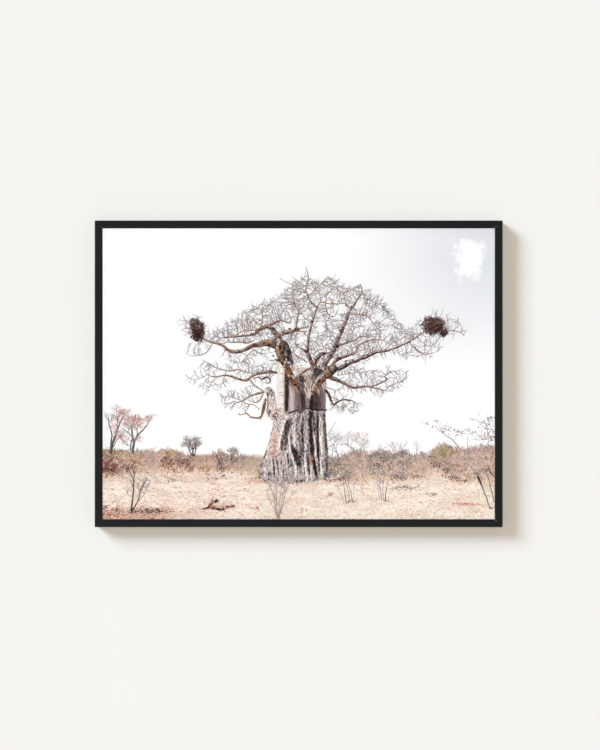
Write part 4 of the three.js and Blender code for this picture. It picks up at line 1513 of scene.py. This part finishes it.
# Each fold of the bark: its route from top to foot, its half width, and how much lighter it is.
FOLDS = [
    ([(-26, 182), (-26, 104)], 6.0, 0.54), ([(-15, 180), (-15, 108)], 2.6, -0.42),
    ([(-17.5, 170), (-17, 108)], 1.6, -0.2), ([(-7.5, 142), (-9, 106)], 5.4, 0.34),
    ([(9.5, 136), (9.5, 106)], 3.2, -0.28), ([(22.5, 150), (22.5, 106)], 2.4, -0.36),
    ([(29, 160), (29, 106)], 8.0, -0.21), ([(43, 160), (43, 106)], 1.8, 0.10),
    ([(3, 130), (4, 106)], 2.0, -0.06), ([(17, 130), (16, 106)], 2.0, 0.08),
    ([(-14, 100), (-19, 86), (-24, 70), (-26.5, 58), (-28, 46)], 1.5, 0.62),
    ([(-13, 92), (-16, 76), (-19, 60), (-21, 45)], 4.8, -0.40),
    ([(-8, 92), (-7, 76)], 2.0, -0.12), ([(-12.5, 70), (-11, 60), (-10, 48)], 1.5, 0.50),
    ([(-9, 68), (-7, 44)], 1.2, -0.42), ([(-4, 102), (-4, 74), (-4, 50)], 3.0, 0.20),
    ([(1, 96), (3, 70), (5, 44)], 4.4, -0.12), ([(8, 98), (8.5, 70), (9, 44)], 1.6, -0.22),
    ([(-6, 50), (0, 38), (4, 20)], 4.4, -0.55),
    ([(-9, 50), (-5, 38), (0, 27)], 1.2, -0.5), ([(9, 84), (9.5, 60), (10, 36)], 0.9, -0.5),
    ([(13, 82), (13, 48)], 1.6, 0.12), ([(17.5, 100), (18, 50)], 1.4, -0.10),
    ([(22, 108), (21, 94), (22, 60), (24, 36), (27, 25), (30, 6)], 2.5, -0.8),
    ([(27, 104), (28, 70)], 3.4, -0.30), ([(25.5, 66), (27, 42)], 1.2, -0.5),
    ([(30.5, 68), (32, 36)], 1.4, -0.5), ([(26, 69), (28, 55), (29, 40)], 1.0, 0.60),
    ([(32, 101), (32.5, 60), (34.5, 15)], 1.5, -0.55), ([(36.5, 103), (37, 80), (37, 60)], 2.6, 0.18),
    ([(36, 68), (39, 40)], 1.5, 0.36), ([(36.5, 38), (38.5, 4)], 1.5, 0.40),
    ([(42, 102), (44, 60), (46, 30), (47, 10)], 2.6, -0.30),
    ([(13.5, 44), (13, 30), (14, 15), (16, 0)], 1.6, 0.42), ([(16.5, 38), (17.5, 25), (20, 10)], 1.5, -0.5),
    ([(23, 26), (22, 12), (22, 0)], 1.2, 0.35), ([(-12.5, 51), (-12, 43)], 1.5, 0.5),
    ([(-13, 46), (-19, 33)], 1.3, 0.34), ([(-11, 46), (-5, 33), (-2, 20), (0, 6)], 2.1, 0.42),
    ([(-14, 38), (-13, 28)], 1.3, -0.45), ([(-9, 30), (-9, 18)], 1.2, -0.3),
    ([(-36.5, 33), (-34, 20), (-34.5, 7)], 1.2, -0.68), ([(-31, 34), (-28.5, 20), (-28, 10)], 1.0, -0.55),
    ([(-43, 13), (-42.5, 2)], 0.9, -0.5), ([(-46, 43), (-53, 28), (-56, 16)], 1.0, -0.6),
    ([(-24, 34), (-23, 20)], 0.8, -0.34), ([(-40, 30), (-40, 6)], 0.8, -0.25),
    ([(-33, 30), (-31, 4)], 0.9, 0.22), ([(-48, 26), (-47, 2)], 2.2, 0.14),
    ([(-38, 30), (-37.5, 6)], 0.8, 0.2), ([(-16, 26), (-15, 4)], 1.0, 0.24),
    ([(4, 18), (6, 2)], 2.0, -0.1), ([(-20, 22), (-20, 4)], 0.9, -0.3),
]
ROUGH_TONE, SMOOTH_TONE, STRIP_TONE = 0.525, 0.42, 0.72
WARM_SIDE = -16  # left of this the bark is warmer
# The bare strip down the left of the rough bark: its right edge at heights, and where it ends.
STRIP_EDGE = [(46, -28), (58, -26.5), (70, -24), (86, -19), (100, -14)]
STRIP_FOOT = 34
trunk = new_layer("picture_trunk", 0.40, 0.62)


def bark_at(right, up):
    """Which bark is here, and how light it is, from 0 for soot to 1 for bleached wood."""
    if up > read_off(RAGGED_LINE, right):
        bark, tone = ("warm" if right < WARM_SIDE else "smooth"), SMOOTH_TONE
    else:
        on_strip = right < read_off(STRIP_EDGE, up) and up > STRIP_FOOT
        warmth = 0.7 if right < WARM_SIDE else 0.3
        bark = "warm" if on_strip or dice.random() < warmth else "rough"
        tone = STRIP_TONE if on_strip else ROUGH_TONE + (0.06 if right < WARM_SIDE else 0.0)
        ripple = math.sin(right * 0.9 + 2.1 * math.sin(up * 0.31)) * math.sin(up * 0.5 + right * 0.2)
        tone += 0.13 * ripple
    for knots, half_width, lift in FOLDS:
        head, foot = knots[0][1], knots[-1][1]
        if foot - 3 < up < head + 3:
            places, heights = zip(*reversed(knots))
            off = (right - np.interp(up, heights, places)) / half_width
            if abs(off) < 2:
                fade = min(1.0, (up - foot + 3) / 5, (head + 3 - up) / 5)
                tone += lift * fade * math.exp(-(off**4))
    return bark, tone


def trunk_side(up, side):
    """How far right of the foot this side of the trunk is at this height."""
    return read_off(TRUNK_RIGHT if side else TRUNK_LEFT, up)


def bark_stroke(share, start, length, width, spread):
    """One streak of bark that follows the trunk's flow, toned by the folds under it."""
    heights = np.linspace(start, start + length, max(3, int(length / 3)))
    left, right = trunk_side(heights, 0), trunk_side(heights, 1)
    across = left + (right - left) * share + np.sin(heights * 0.5 + share * 60) * scatter(0, 0.5)
    middle_up = start + length / 2
    centre = float(np.interp(middle_up, heights, across))
    if start + length > read_off(TRUNK_TOP, centre):
        return
    if start < read_off(TRUNK_FOOT, centre) + dice.gauss(0, 1):
        return
    bark, tone = bark_at(centre, middle_up)
    tone += dice.gauss(0, spread if bark != "smooth" else spread * 0.5)
    barks = tones(BARKS[bark])
    step = max(0, min(len(barks) - 1, round(tone * (len(barks) - 1))))
    stroke(trunk, np.stack([across, heights], axis=1), (width, width, width * 0.5), barks[step])


COLUMNS = 96
for column in range(COLUMNS):
    start = -8.0
    while start < 180:
        bark_stroke((column + 0.5) / COLUMNS, start, length=4.2, width=1.9, spread=0.05)
        start += 3.0
STREAKS = 7200
for _ in range(STREAKS):
    start = scatter(-8, 178)
    if start > 104:
        bark_stroke(dice.random(), start, scatter(5, 18), scatter(0.5, 1.2), 0.12)
    else:
        bark_stroke(dice.random(), start, scatter(1.6, 8.5), scatter(0.7, 1.6), 0.165)
CHIPS = 1150
for _ in range(CHIPS):
    up = scatter(-4, 102)
    across = trunk_side(up, 0) + (trunk_side(up, 1) - trunk_side(up, 0)) * dice.random()
    bark, tone = bark_at(across, up)
    inks = "bark shadow, mauve shadow, umber" if dice.random() < 0.5 else "bark cream, rose pale"
    if tone > 0.3:
        dab(trunk, (across, up), scatter(0.9, 2.2), dice.gauss(1.4, 0.7), inks)
line = smooth_route([p for p in RAGGED_LINE if p[0] > -16], 1.2)
line[:, 1] += value_noise(len(line), 2) * 0.8
stroke(trunk, line + [0, -1.9], (0.8, 0.2, 0.9, 0.2, 0.7), "bark pale")
stroke(trunk, line, (2.4, 2.0, 1.0, 1.0, 2.4, 2.2), "soot")

# The swollen stump on the left, the rings of the pale stem, and what is broken in the fork.
STUMP = smooth_route([(-44, 142), (-41, 135), (-39, 127), (-37.5, 116), (-38, 106), (-37, 92)], 2)
STUMP_WIDTHS = (5, 13, 11, 16, 14, 17, 15, 9, 5)
STUMP_STREAKS = 340
stroke(trunk, STUMP, STUMP_WIDTHS, "rose bark")
for _ in range(STUMP_STREAKS):
    i = dice.randrange(len(STUMP) - 3)
    half = np.interp(i / len(STUMP), np.linspace(0, 1, len(STUMP_WIDTHS)), STUMP_WIDTHS) / 2
    off = scatter(-1, 1)
    inks = "mauve pale, rose bark, rose pale, bleached, rose pale"
    if i < 6 or abs(off) > 0.8 or dice.random() < 0.15:
        inks = "mauve, mauve shadow, mauve grey, rose bark"
    part = STUMP[i : i + 3] + [off * half, 0]
    stroke(trunk, part, (scatter(0.6, 1.5), 0.5), inks)
stroke(trunk, [(-30.5, 128), (-31, 120), (-31, 112)], (0.8, 1.6, 0.6), "chalk")
RINGS = (163, 150, 134, 130, 116, 109, 106)
for height in RINGS:
    for _ in range(2):
        start = scatter(-30, -24)
        sag = [(start, height + 0.5), (start + 3, height - 0.3), (start + scatter(4, 7), height + 0.2)]
        stroke(trunk, smooth_route(sag), (0.3, 0.7, 0.3), "mauve pale, stone, tan")
# Each broken place: centre, reach, marks, inks.
BROKEN = [
    ((-24, 174), (9, 10), 40, "rose pale, rose bark, bleached, blush"),
    ((-15, 168), (4, 14), 60, "maroon, mauve shadow, umber, mauve"),
    ((-14, 145), (3.4, 16), 70, "soot, umber, maroon, tan"),
    ((-6, 171), (9, 6), 110, "rose pale, rose bark, mauve pale, bleached, brown"),
    ((4, 167), (13, 8), 190, "rose pale, bleached, rose bark, scrub brown, mauve pale"),
    ((16, 163), (13, 8), 190, "rose pale, mauve pale, rose bark, bleached, brown"),
    ((22, 154), (7, 7), 50, "rose bark, mauve pale, rose pale, mauve grey"),
    ((6, 158), (8, 4), 46, "umber, maroon, brown, mauve shadow"),
    ((9, 152), (4, 7), 46, "maroon, bark shadow, mauve shadow, soot"),
    ((31, 168), (10, 10), 230, "bark shadow, bark dark, bark shadow, soot"),
    ((42, 179), (9, 10), 130, "mauve, mauve grey, mauve shadow, rose bark"),
    ((32, 182), (7, 7), 80, "bleached, rose pale, bark pale, rose bark"),
    ((-13, 184), (5, 9), 70, "bark shadow, bark dark, mauve shadow, maroon"),
    ((-9, 177), (3, 4), 26, "bark shadow, mauve shadow"),
    ((-45, 137), (6, 7), 30, "mauve, rose pale, mauve shadow, bleached, rose bark"),
    ((-38, 122), (7, 12), 40, "mauve grey, rose bark, mauve, bleached"),
    ((-34, 98), (3.4, 3.4), 34, "umber, brown, soot, rust"),
    ((-42, 104), (2, 4), 12, "umber, brown, maroon"),
    ((-25, 102), (9, 4), 50, "bleached, rose pale, umber, rose bark"),
    ((-22, 93), (7, 4), 40, "bleached, umber, rose pale, tan"),
    ((-28, 108), (5, 5), 34, "rose bark, umber, bleached, tan, rose pale"),
    ((-33, 84), (4, 8), 30, "rose pale, bleached, umber, stone"),
    ((-35, 60), (5, 3.4), 24, "rust, pale rust, sand"),
    ((-34, 68), (5, 12), 30, "pale rust, sand, blush"),
    ((-34, 50), (4, 8), 26, "pale rust, rust, tan, blush"),
    ((-35, 40), (6, 4), 36, "rust, pale rust, rust, tan"),
    ((-44, 42), (4, 5), 12, "pale rust, clay"),
    ((22.5, 30), (2.2, 7), 22, "ochre, rust, sand"),
    ((2, 34), (6, 5), 34, "umber, soot, brown"),
    ((6, 40), (4, 3), 14, "brown, umber"),
    ((16, 44), (5, 1.6), 14, "umber, soot"),
]
heap(trunk, BROKEN, 1.2, 3.0, 1.2, 0.8)
stroke(trunk, [(17, 158), (17, 147), (18, 125)], (6, 11, 1.2), "rose bark")
SPLINTERS = 90
for _ in range(SPLINTERS):
    start = np.array([scatter(11, 24), scatter(134, 160)])
    end = start * [0.45, 1] + [18 * 0.55, -scatter(5, 12)]  # drawn in towards one root
    stroke(trunk, [start, end], (1.5, 0.7), "rose pale, fawn, bleached, rose bark, tan, stone")
FIBRES = 16
for _ in range(FIBRES):
    start = np.array([scatter(26, 42), 0.0])
    start[1] = 134 + (start[0] - 22) * 0.95
    tip = start + [scatter(2, 7), -scatter(5, 14)]
    stroke(trunk, [start, (start + tip) / 2 + [0.6, 0.4], tip], (0.9, 0.4), "rose bark, fawn")
for edge in (0, 1):
    heights = np.arange(4, 160 if edge else 90, 2.5)
    side = np.stack([trunk_side(heights, edge) - edge * 0.5 + 0.2, heights], axis=1)
    side[:, 0] += value_noise(len(side), 2) * 0.5
    for start in range(0, len(side) - 4, 4):
        inks = "mauve, mauve shadow" if edge else "stone, rose bark, mauve pale, tan"
        stroke(trunk, side[start : start + 5], (0.5, scatter(0.4, 1.2), 0.5), inks)
# The foot: dark gaps between root toes, stones, dry leaves and grass that stand before the bark.
FOOTINGS = [
    ((0.5, -3), (3.2, 3.2), 30, "soot, umber, soot"), ((6, -2), (3, 3), 22, "soot, umber"),
    ((-18, -1), (3, 6), 30, "soot, bark shadow, umber"), ((10, 0), (4, 4), 16, "umber, brown"),
    ((-56, 7), (5, 7), 46, "soot, moss, umber"), ((-62, 3), (9, 3), 24, "moss, olive leaf"),
    ((-43, 1), (2.4, 3), 10, "umber, bark shadow"), ((-48, -1), (3, 2), 10, "umber, brown"),
    ((31, 3), (3, 4), 16, "umber, olive leaf"),
    ((37, 4), (6, 5), 40, "yellow leaf, olive leaf, straw"),
    ((35, -2), (8, 2), 26, "chalk, bleached, cream"), ((44, 6), (3, 5), 26, "soot, bark shadow"),
    ((51, 8), (5, 4), 50, "slate, slate, bark mid"), ((54, 5), (3, 3), 14, "chalk, rose bark"),
    ((59, 10), (3, 8), 26, "moss, olive leaf, moss"), ((65, 6), (5, 3), 20, "bleached, slate"),
    ((66, 1), (8, 3), 40, "maroon, brown, red leaf"),
    ((50, -1), (9, 2.4), 40, "pink leaf, brown, stone"),
    ((-20, -4), (34, 3), 120, "rose bark, blush, mauve pale, rose pale"),
    ((-30, 0), (24, 5), 60, "mauve grey, rose bark, rose pale, mauve"),
    ((14, -5), (26, 2), 70, "cream, peach, blush, clay"),
]
heap(trunk, FOOTINGS, 1.0, 2.4, 0.8, 0.9)

# ---- Two nests ----
# Great untidy stick nests sit at the far ends of the two longest boughs: hundreds of crossed
# sticks, near black underneath and brown on top, with loose ends that stick out.
NESTS = {
    "left nest": {
        "centre": (-152, 231), "reach": (9.5, 17), "tilt": 0.30, "sticks": 420, "core": 60,
        "heart": (-1.5, -8),
    },
    "right nest": {
        "centre": (209, 237), "reach": (16, 13), "tilt": 0.1, "sticks": 560, "core": 170,
        "heart": (2, -2),
    },
    "right clump": {
        "centre": (225, 225), "reach": (5.5, 4.5), "tilt": 0.3, "sticks": 80, "core": 16,
        "heart": (0, 0),
    },
}
nests = new_layer("picture_nests", 0.82, 0.92)
for nest in NESTS.values():
    centre, reach = np.array(nest["centre"], float), np.array(nest["reach"])
    swing = np.array(
        [[math.cos(nest["tilt"]), -math.sin(nest["tilt"])],
         [math.sin(nest["tilt"]), math.cos(nest["tilt"])]]
    )
    for _ in range(nest["core"]):
        spot = around(centre + nest["heart"], reach * 0.66)
        dab(nests, spot, scatter(3, 6), scatter(0, 3), "soot, umber")
    for i in range(nest["sticks"]):
        angle, out = scatter(0, 2 * math.pi), math.sqrt(dice.random())
        lumps = 1 + 0.13 * math.sin(angle * 3 + 1) + 0.09 * math.sin(angle * 7)
        within = leaning(angle) * out * lumps
        spot = centre + swing @ (within * reach)
        lean = dice.gauss(0.7, 0.9)
        half = leaning(lean) * scatter(1.2, 4.0)
        bend = np.array([dice.gauss(0, 0.8), dice.gauss(0, 0.8)])
        if i < nest["sticks"] * 0.45:
            inks = "soot, soot, umber" if within[1] < 0.1 else "umber, maroon, soot"
        elif within[1] > 0.0:
            inks = "brown, mauve shadow, umber, stone, maroon, umber, dark twig"
        else:
            inks = "soot, umber, soot, brown"
        stroke(nests, [spot - half, spot + bend, spot + half], (0.5, 1.0, 0.3), inks)
    for _ in range(int(nest["sticks"] / 12)):
        angle = scatter(0, 2 * math.pi)
        rim = centre + swing @ (leaning(angle) * reach * 0.9)
        away = angle + dice.gauss(0, 0.45)
        reach_out = scatter(2, 6) if dice.random() < 0.7 else scatter(7, 17)
        tip = rim + leaning(away) * reach_out
        bend = (rim + tip) / 2 + [dice.gauss(0, 0.7), dice.gauss(0, 0.7)]
        inks = "grey twig, twig" if reach_out > 7 else "dark twig, mauve"
        stroke(nests, [rim, bend, tip], (0.9, 0.6, 0.3), inks)
# Pale twigs of the bough that cross in front of the right nest.
for start, end in (((196, 228), (214, 240)), ((199, 224), (221, 236)), ((194, 233), (208, 246))):
    stroke(nests, [start, (np.add(start, end)) / 2 + [0, 1], end], (0.9, 0.5), "stone")

# ---- Near saplings, mound and stones ----
# Thin bare saplings fan up from the ground in front, and a low broken mound of red earth lies to
# the left of the trunk.
saplings = new_layer("picture_saplings", 0.92, 0.99)
DARK_STEM = ("maroon", "mauve shadow")
MAUVE_STEM = ("mauve", "mauve pale")
TAN_STEM = ("stone", "rose bark")
PALE_STEM = ("mauve grey", "rose bark")
# Each stem: its route from the foot, its two end widths, its two inks, and how many twigs leave it.
NEAR_STEMS = [
    ([(-254, -48), (-251, -29), (-250, -10), (-249, 8), (-252, 20)], 2.6, 1.2, DARK_STEM, 9),
    ([(-250, -2), (-256, 14), (-259, 20), (-260, 12)], 1.0, 1.6, DARK_STEM, 2),
    ([(-253, -48), (-244, -34), (-241, -22), (-238, -12), (-233, -4), (-230, 4)], 2.0, 0.8, DARK_STEM, 8),
    ([(-244, -34), (-236, -26), (-231, -17), (-228, -8)], 1.1, 0.6, MAUVE_STEM, 5),
    ([(-252, -2), (-259, 3), (-270, 5)], 0.9, 0.5, MAUVE_STEM, 2),
    ([(-241, -22), (-236, -13), (-234, 0)], 0.9, 0.5, MAUVE_STEM, 4),
    ([(-251, -29), (-260, -20), (-264, -12)], 0.7, 0.4, PALE_STEM, 4),
    ([(-29, -58), (-33, -42), (-35, -26), (-41, -9), (-47, -3)], 1.6, 0.6, TAN_STEM, 6),
    ([(-28, -58), (-27, -38), (-24, -16), (-24, -2)], 1.1, 0.5, TAN_STEM, 6),
    ([(-28, -58), (-22, -40), (-19, -26), (-13, -10), (-8, -2)], 1.4, 0.5, TAN_STEM, 6),
    ([(-29, -58), (-31, -38), (-30, -16), (-33, -4)], 1.0, 0.4, TAN_STEM, 6),
    ([(-28, -56), (-24, -38), (-21, -20), (-20, -6)], 1.0, 0.4, TAN_STEM, 5),
    ([(-29, -56), (-38, -38), (-44, -24), (-46, -14)], 0.8, 0.4, TAN_STEM, 5),
    ([(-26, -50), (-14, -32), (0, -14)], 0.6, 0.3, PALE_STEM, 2),
    ([(-31, -52), (-42, -44), (-52, -42)], 0.6, 0.3, PALE_STEM, 1),
    ([(76, -34), (73, -16), (71, 0), (69, 14)], 1.5, 0.6, TAN_STEM, 4),
    ([(73, -32), (66, -18), (61, -6)], 0.8, 0.6, ("bark mid", "bark grey"), 1),
    ([(81, -34), (79, -16), (75, -2), (76, 16)], 1.2, 0.5, TAN_STEM, 4),
    ([(85, -33), (82, -16), (79, -4), (82, 12)], 1.3, 0.5, TAN_STEM, 4),
    ([(86, -32), (88, -10), (87, 12)], 0.7, 0.4, PALE_STEM, 3),
    ([(100, -19), (100, 6), (99, 40)], 0.9, 0.5, ("earth", "rose bark"), 2),
    ([(127, -32), (124, -10), (122, 16), (119, 34)], 1.6, 0.8, ("bark pale", "rose pale"), 2),
    ([(130, -31), (128, -14), (126, 2)], 1.5, 0.8, TAN_STEM, 2),
    ([(136, -31), (136, -20), (138, -10)], 1.4, 0.7, DARK_STEM, 2),
    ([(133, -32), (132, -12), (134, 6)], 0.9, 0.5, TAN_STEM, 3),
    ([(146, -6), (147, 14), (146, 26)], 0.8, 0.4, PALE_STEM, 1),
    ([(296, -44), (293, -36), (290, -26), (284, -11), (280, 0), (275, 9)], 1.8, 2.4, MAUVE_STEM, 4),
    ([(283, -9), (280, -1), (277, 5)], 2.2, 2.8, ("soot", "mauve shadow"), 0),
    ([(302, -34), (297, -12), (293, 4), (288, 16)], 1.6, 1.4, MAUVE_STEM, 4),
    ([(303, 4), (299, 9), (294, 16)], 1.6, 1.2, DARK_STEM, 2),
]
for knots, foot_width, tip_width, (shade, light), twigs in NEAR_STEMS:
    route = smooth_route(knots)
    route[1:-1, 0] += value_noise(len(route) - 2, 2) * 0.4
    stroke(saplings, route, (foot_width, tip_width), shade)
    stroke(saplings, route + [-foot_width * 0.18, 0], (foot_width * 0.4, tip_width * 0.4), light)
    for _ in range(twigs):
        i = dice.randrange(len(route) // 2, len(route))
        heading = math.pi / 2 + dice.choice([-1, 1]) * scatter(0.2, 0.9)
        fine = ["pale twig", shade] if shade != "maroon" else "twig, mauve shadow"
        shoot(saplings, route[i], heading, scatter(4, 9), 0.7, 1, fine)
# Each heap of leaves, chips or red earth in front: centre, reach, marks, size, inks.
NEAR_HEAPS = [
    ((-136, -43), (12, 2.2), 26, 1.6, "umber, maroon, brown, rust"),
    ((-128, -37), (8, 8), 60, 1.7, "rust, earth, brown, pale rust, clay"),
    ((-123, -33), (4, 4), 30, 1.8, "umber, maroon, brown"),
    ((-130, -30), (3, 4), 10, 1.4, "rust, earth"),
    ((-115, -45), (6, 3), 40, 1.8, "umber, maroon, soot"),
    ((-128, -42), (3, 3), 18, 1.6, "umber, soot"),
    ((-106, -41), (5, 3), 30, 1.8, "brown, umber, rust, earth"),
    ((-98, -40), (4, 3), 24, 1.8, "brown, umber, rust"),
    ((-115, -42), (12, 4), 30, 1.6, "rust, clay, earth, pale rust"),
    ((-112, 6), (4, 2), 10, 1.4, "umber, brown"), ((-123, 2), (6, 2), 14, 1.4, "brown, earth"),
    ((-102, -5), (4, 2), 8, 1.2, "umber, brown"), ((-240, 3), (7, 4), 16, 1.3, "olive leaf, moss"),
    ((-236, -8), (9, 9), 22, 1.3, "olive leaf, moss, mauve shadow, straw"),
    ((-230, -20), (8, 8), 16, 1.2, "mauve shadow, pink leaf, olive leaf"),
    ((-253, 28), (12, 10), 60, 1.5, "olive leaf, scrub brown, pink leaf, tan, stone"),
    ((-244, -30), (8, 10), 16, 1.1, "mauve, pink leaf, mauve shadow"),
    ((-200, 6), (12, 4), 12, 1.3, "mauve shadow, brown"),
    ((-253, -48), (6, 3), 26, 1.7, "maroon, umber"),
    ((-29, -60), (9, 3), 30, 1.6, "brown, rust, earth"),
    ((-31, -40), (5, 6), 16, 1.2, "mauve, rose bark"),
    ((-29, -8), (20, 8), 110, 1.5, "mauve pale, mauve grey, rose bark, mauve"),
    ((77, -34), (6, 2), 20, 1.5, "brown, mauve, red leaf"),
    ((86, -33), (6, 2), 20, 1.5, "brown, moss"),
    ((74, 6), (9, 9), 60, 1.4, "mauve grey, rose bark, mauve, stone"),
    ((137, -32), (5, 2), 18, 1.5, "brown, mauve, rust"),
    ((102, -4), (8, 12), 60, 1.4, "clay, straw, ochre, peach"),
    ((128, 2), (8, 8), 30, 1.3, "mauve grey, rose bark, stone"),
    ((298, -43), (5, 2), 18, 1.5, "umber, brown"), ((281, 1), (4, 5), 14, 1.6, "soot, mauve shadow"),
]
# The mound's solid lumps: route, widths, ink.
LUMPS = [
    ([(-147, -45), (-140, -43.5), (-130, -42)], (0.8, 2.6, 2.4), "umber"),
    ([(-137, -43), (-131, -37), (-127, -31)], (2, 5.5, 1.5), "brown"),
    ([(-133, -42), (-129, -37), (-128, -32)], (1, 2.6, 1), "rust"),
    ([(-126, -35), (-123, -32), (-121, -31)], (3, 4.4, 2), "maroon"),
    ([(-130, -43), (-116, -45), (-110, -45)], (2, 3.6, 1.5), "umber"),
    ([(-109, -42), (-105, -41), (-103, -41)], (2, 3.4, 2), "maroon"),
    ([(-101, -41), (-97, -40), (-94, -41)], (2, 3.2, 1.5), "brown"),
]
for knots, widths, ink in LUMPS:
    stroke(saplings, smooth_route(knots), widths, ink)
for centre, reach, count, size, inks in NEAR_HEAPS:
    for _ in range(count):
        dab(saplings, around(centre, reach), size * scatter(0.6, 1.3), dice.gauss(0.5, 0.7), inks)

# The layers of ink are laid down from the card forwards.
picture = [card]
for layer in (
    ground_flecks, far_scrub, far_trees, back_twigs, trunk, boughs, front_twigs, nests, saplings,
):
    picture.append(lay_down(layer))

# ---- What the key light reaches ----
# The rails shade the wall but not the picture, which is evenly bright right up to them. So the key
# leaves the picture out, and a twin of it that the rails don't block lights only the picture.


def linked_group(name, pieces, state):
    """A collection that lets a light take in or leave out these pieces."""
    group = bpy.data.collections.new(name)
    for piece in pieces:
        group.objects.link(piece)
    for entry in group.collection_objects:
        entry.light_linking.link_state = state
    return group


picture_key = bpy.data.objects.new("picture_key", key.data)
picture_key.rotation_euler = key.rotation_euler
show(picture_key)
key.light_linking.receiver_collection = linked_group("not on the picture", picture, "EXCLUDE")
picture_key.light_linking.receiver_collection = linked_group("on the picture", picture, "INCLUDE")
past_rails = linked_group("past the rails", rail_pieces, "EXCLUDE")
picture_key.light_linking.blocker_collection = past_rails
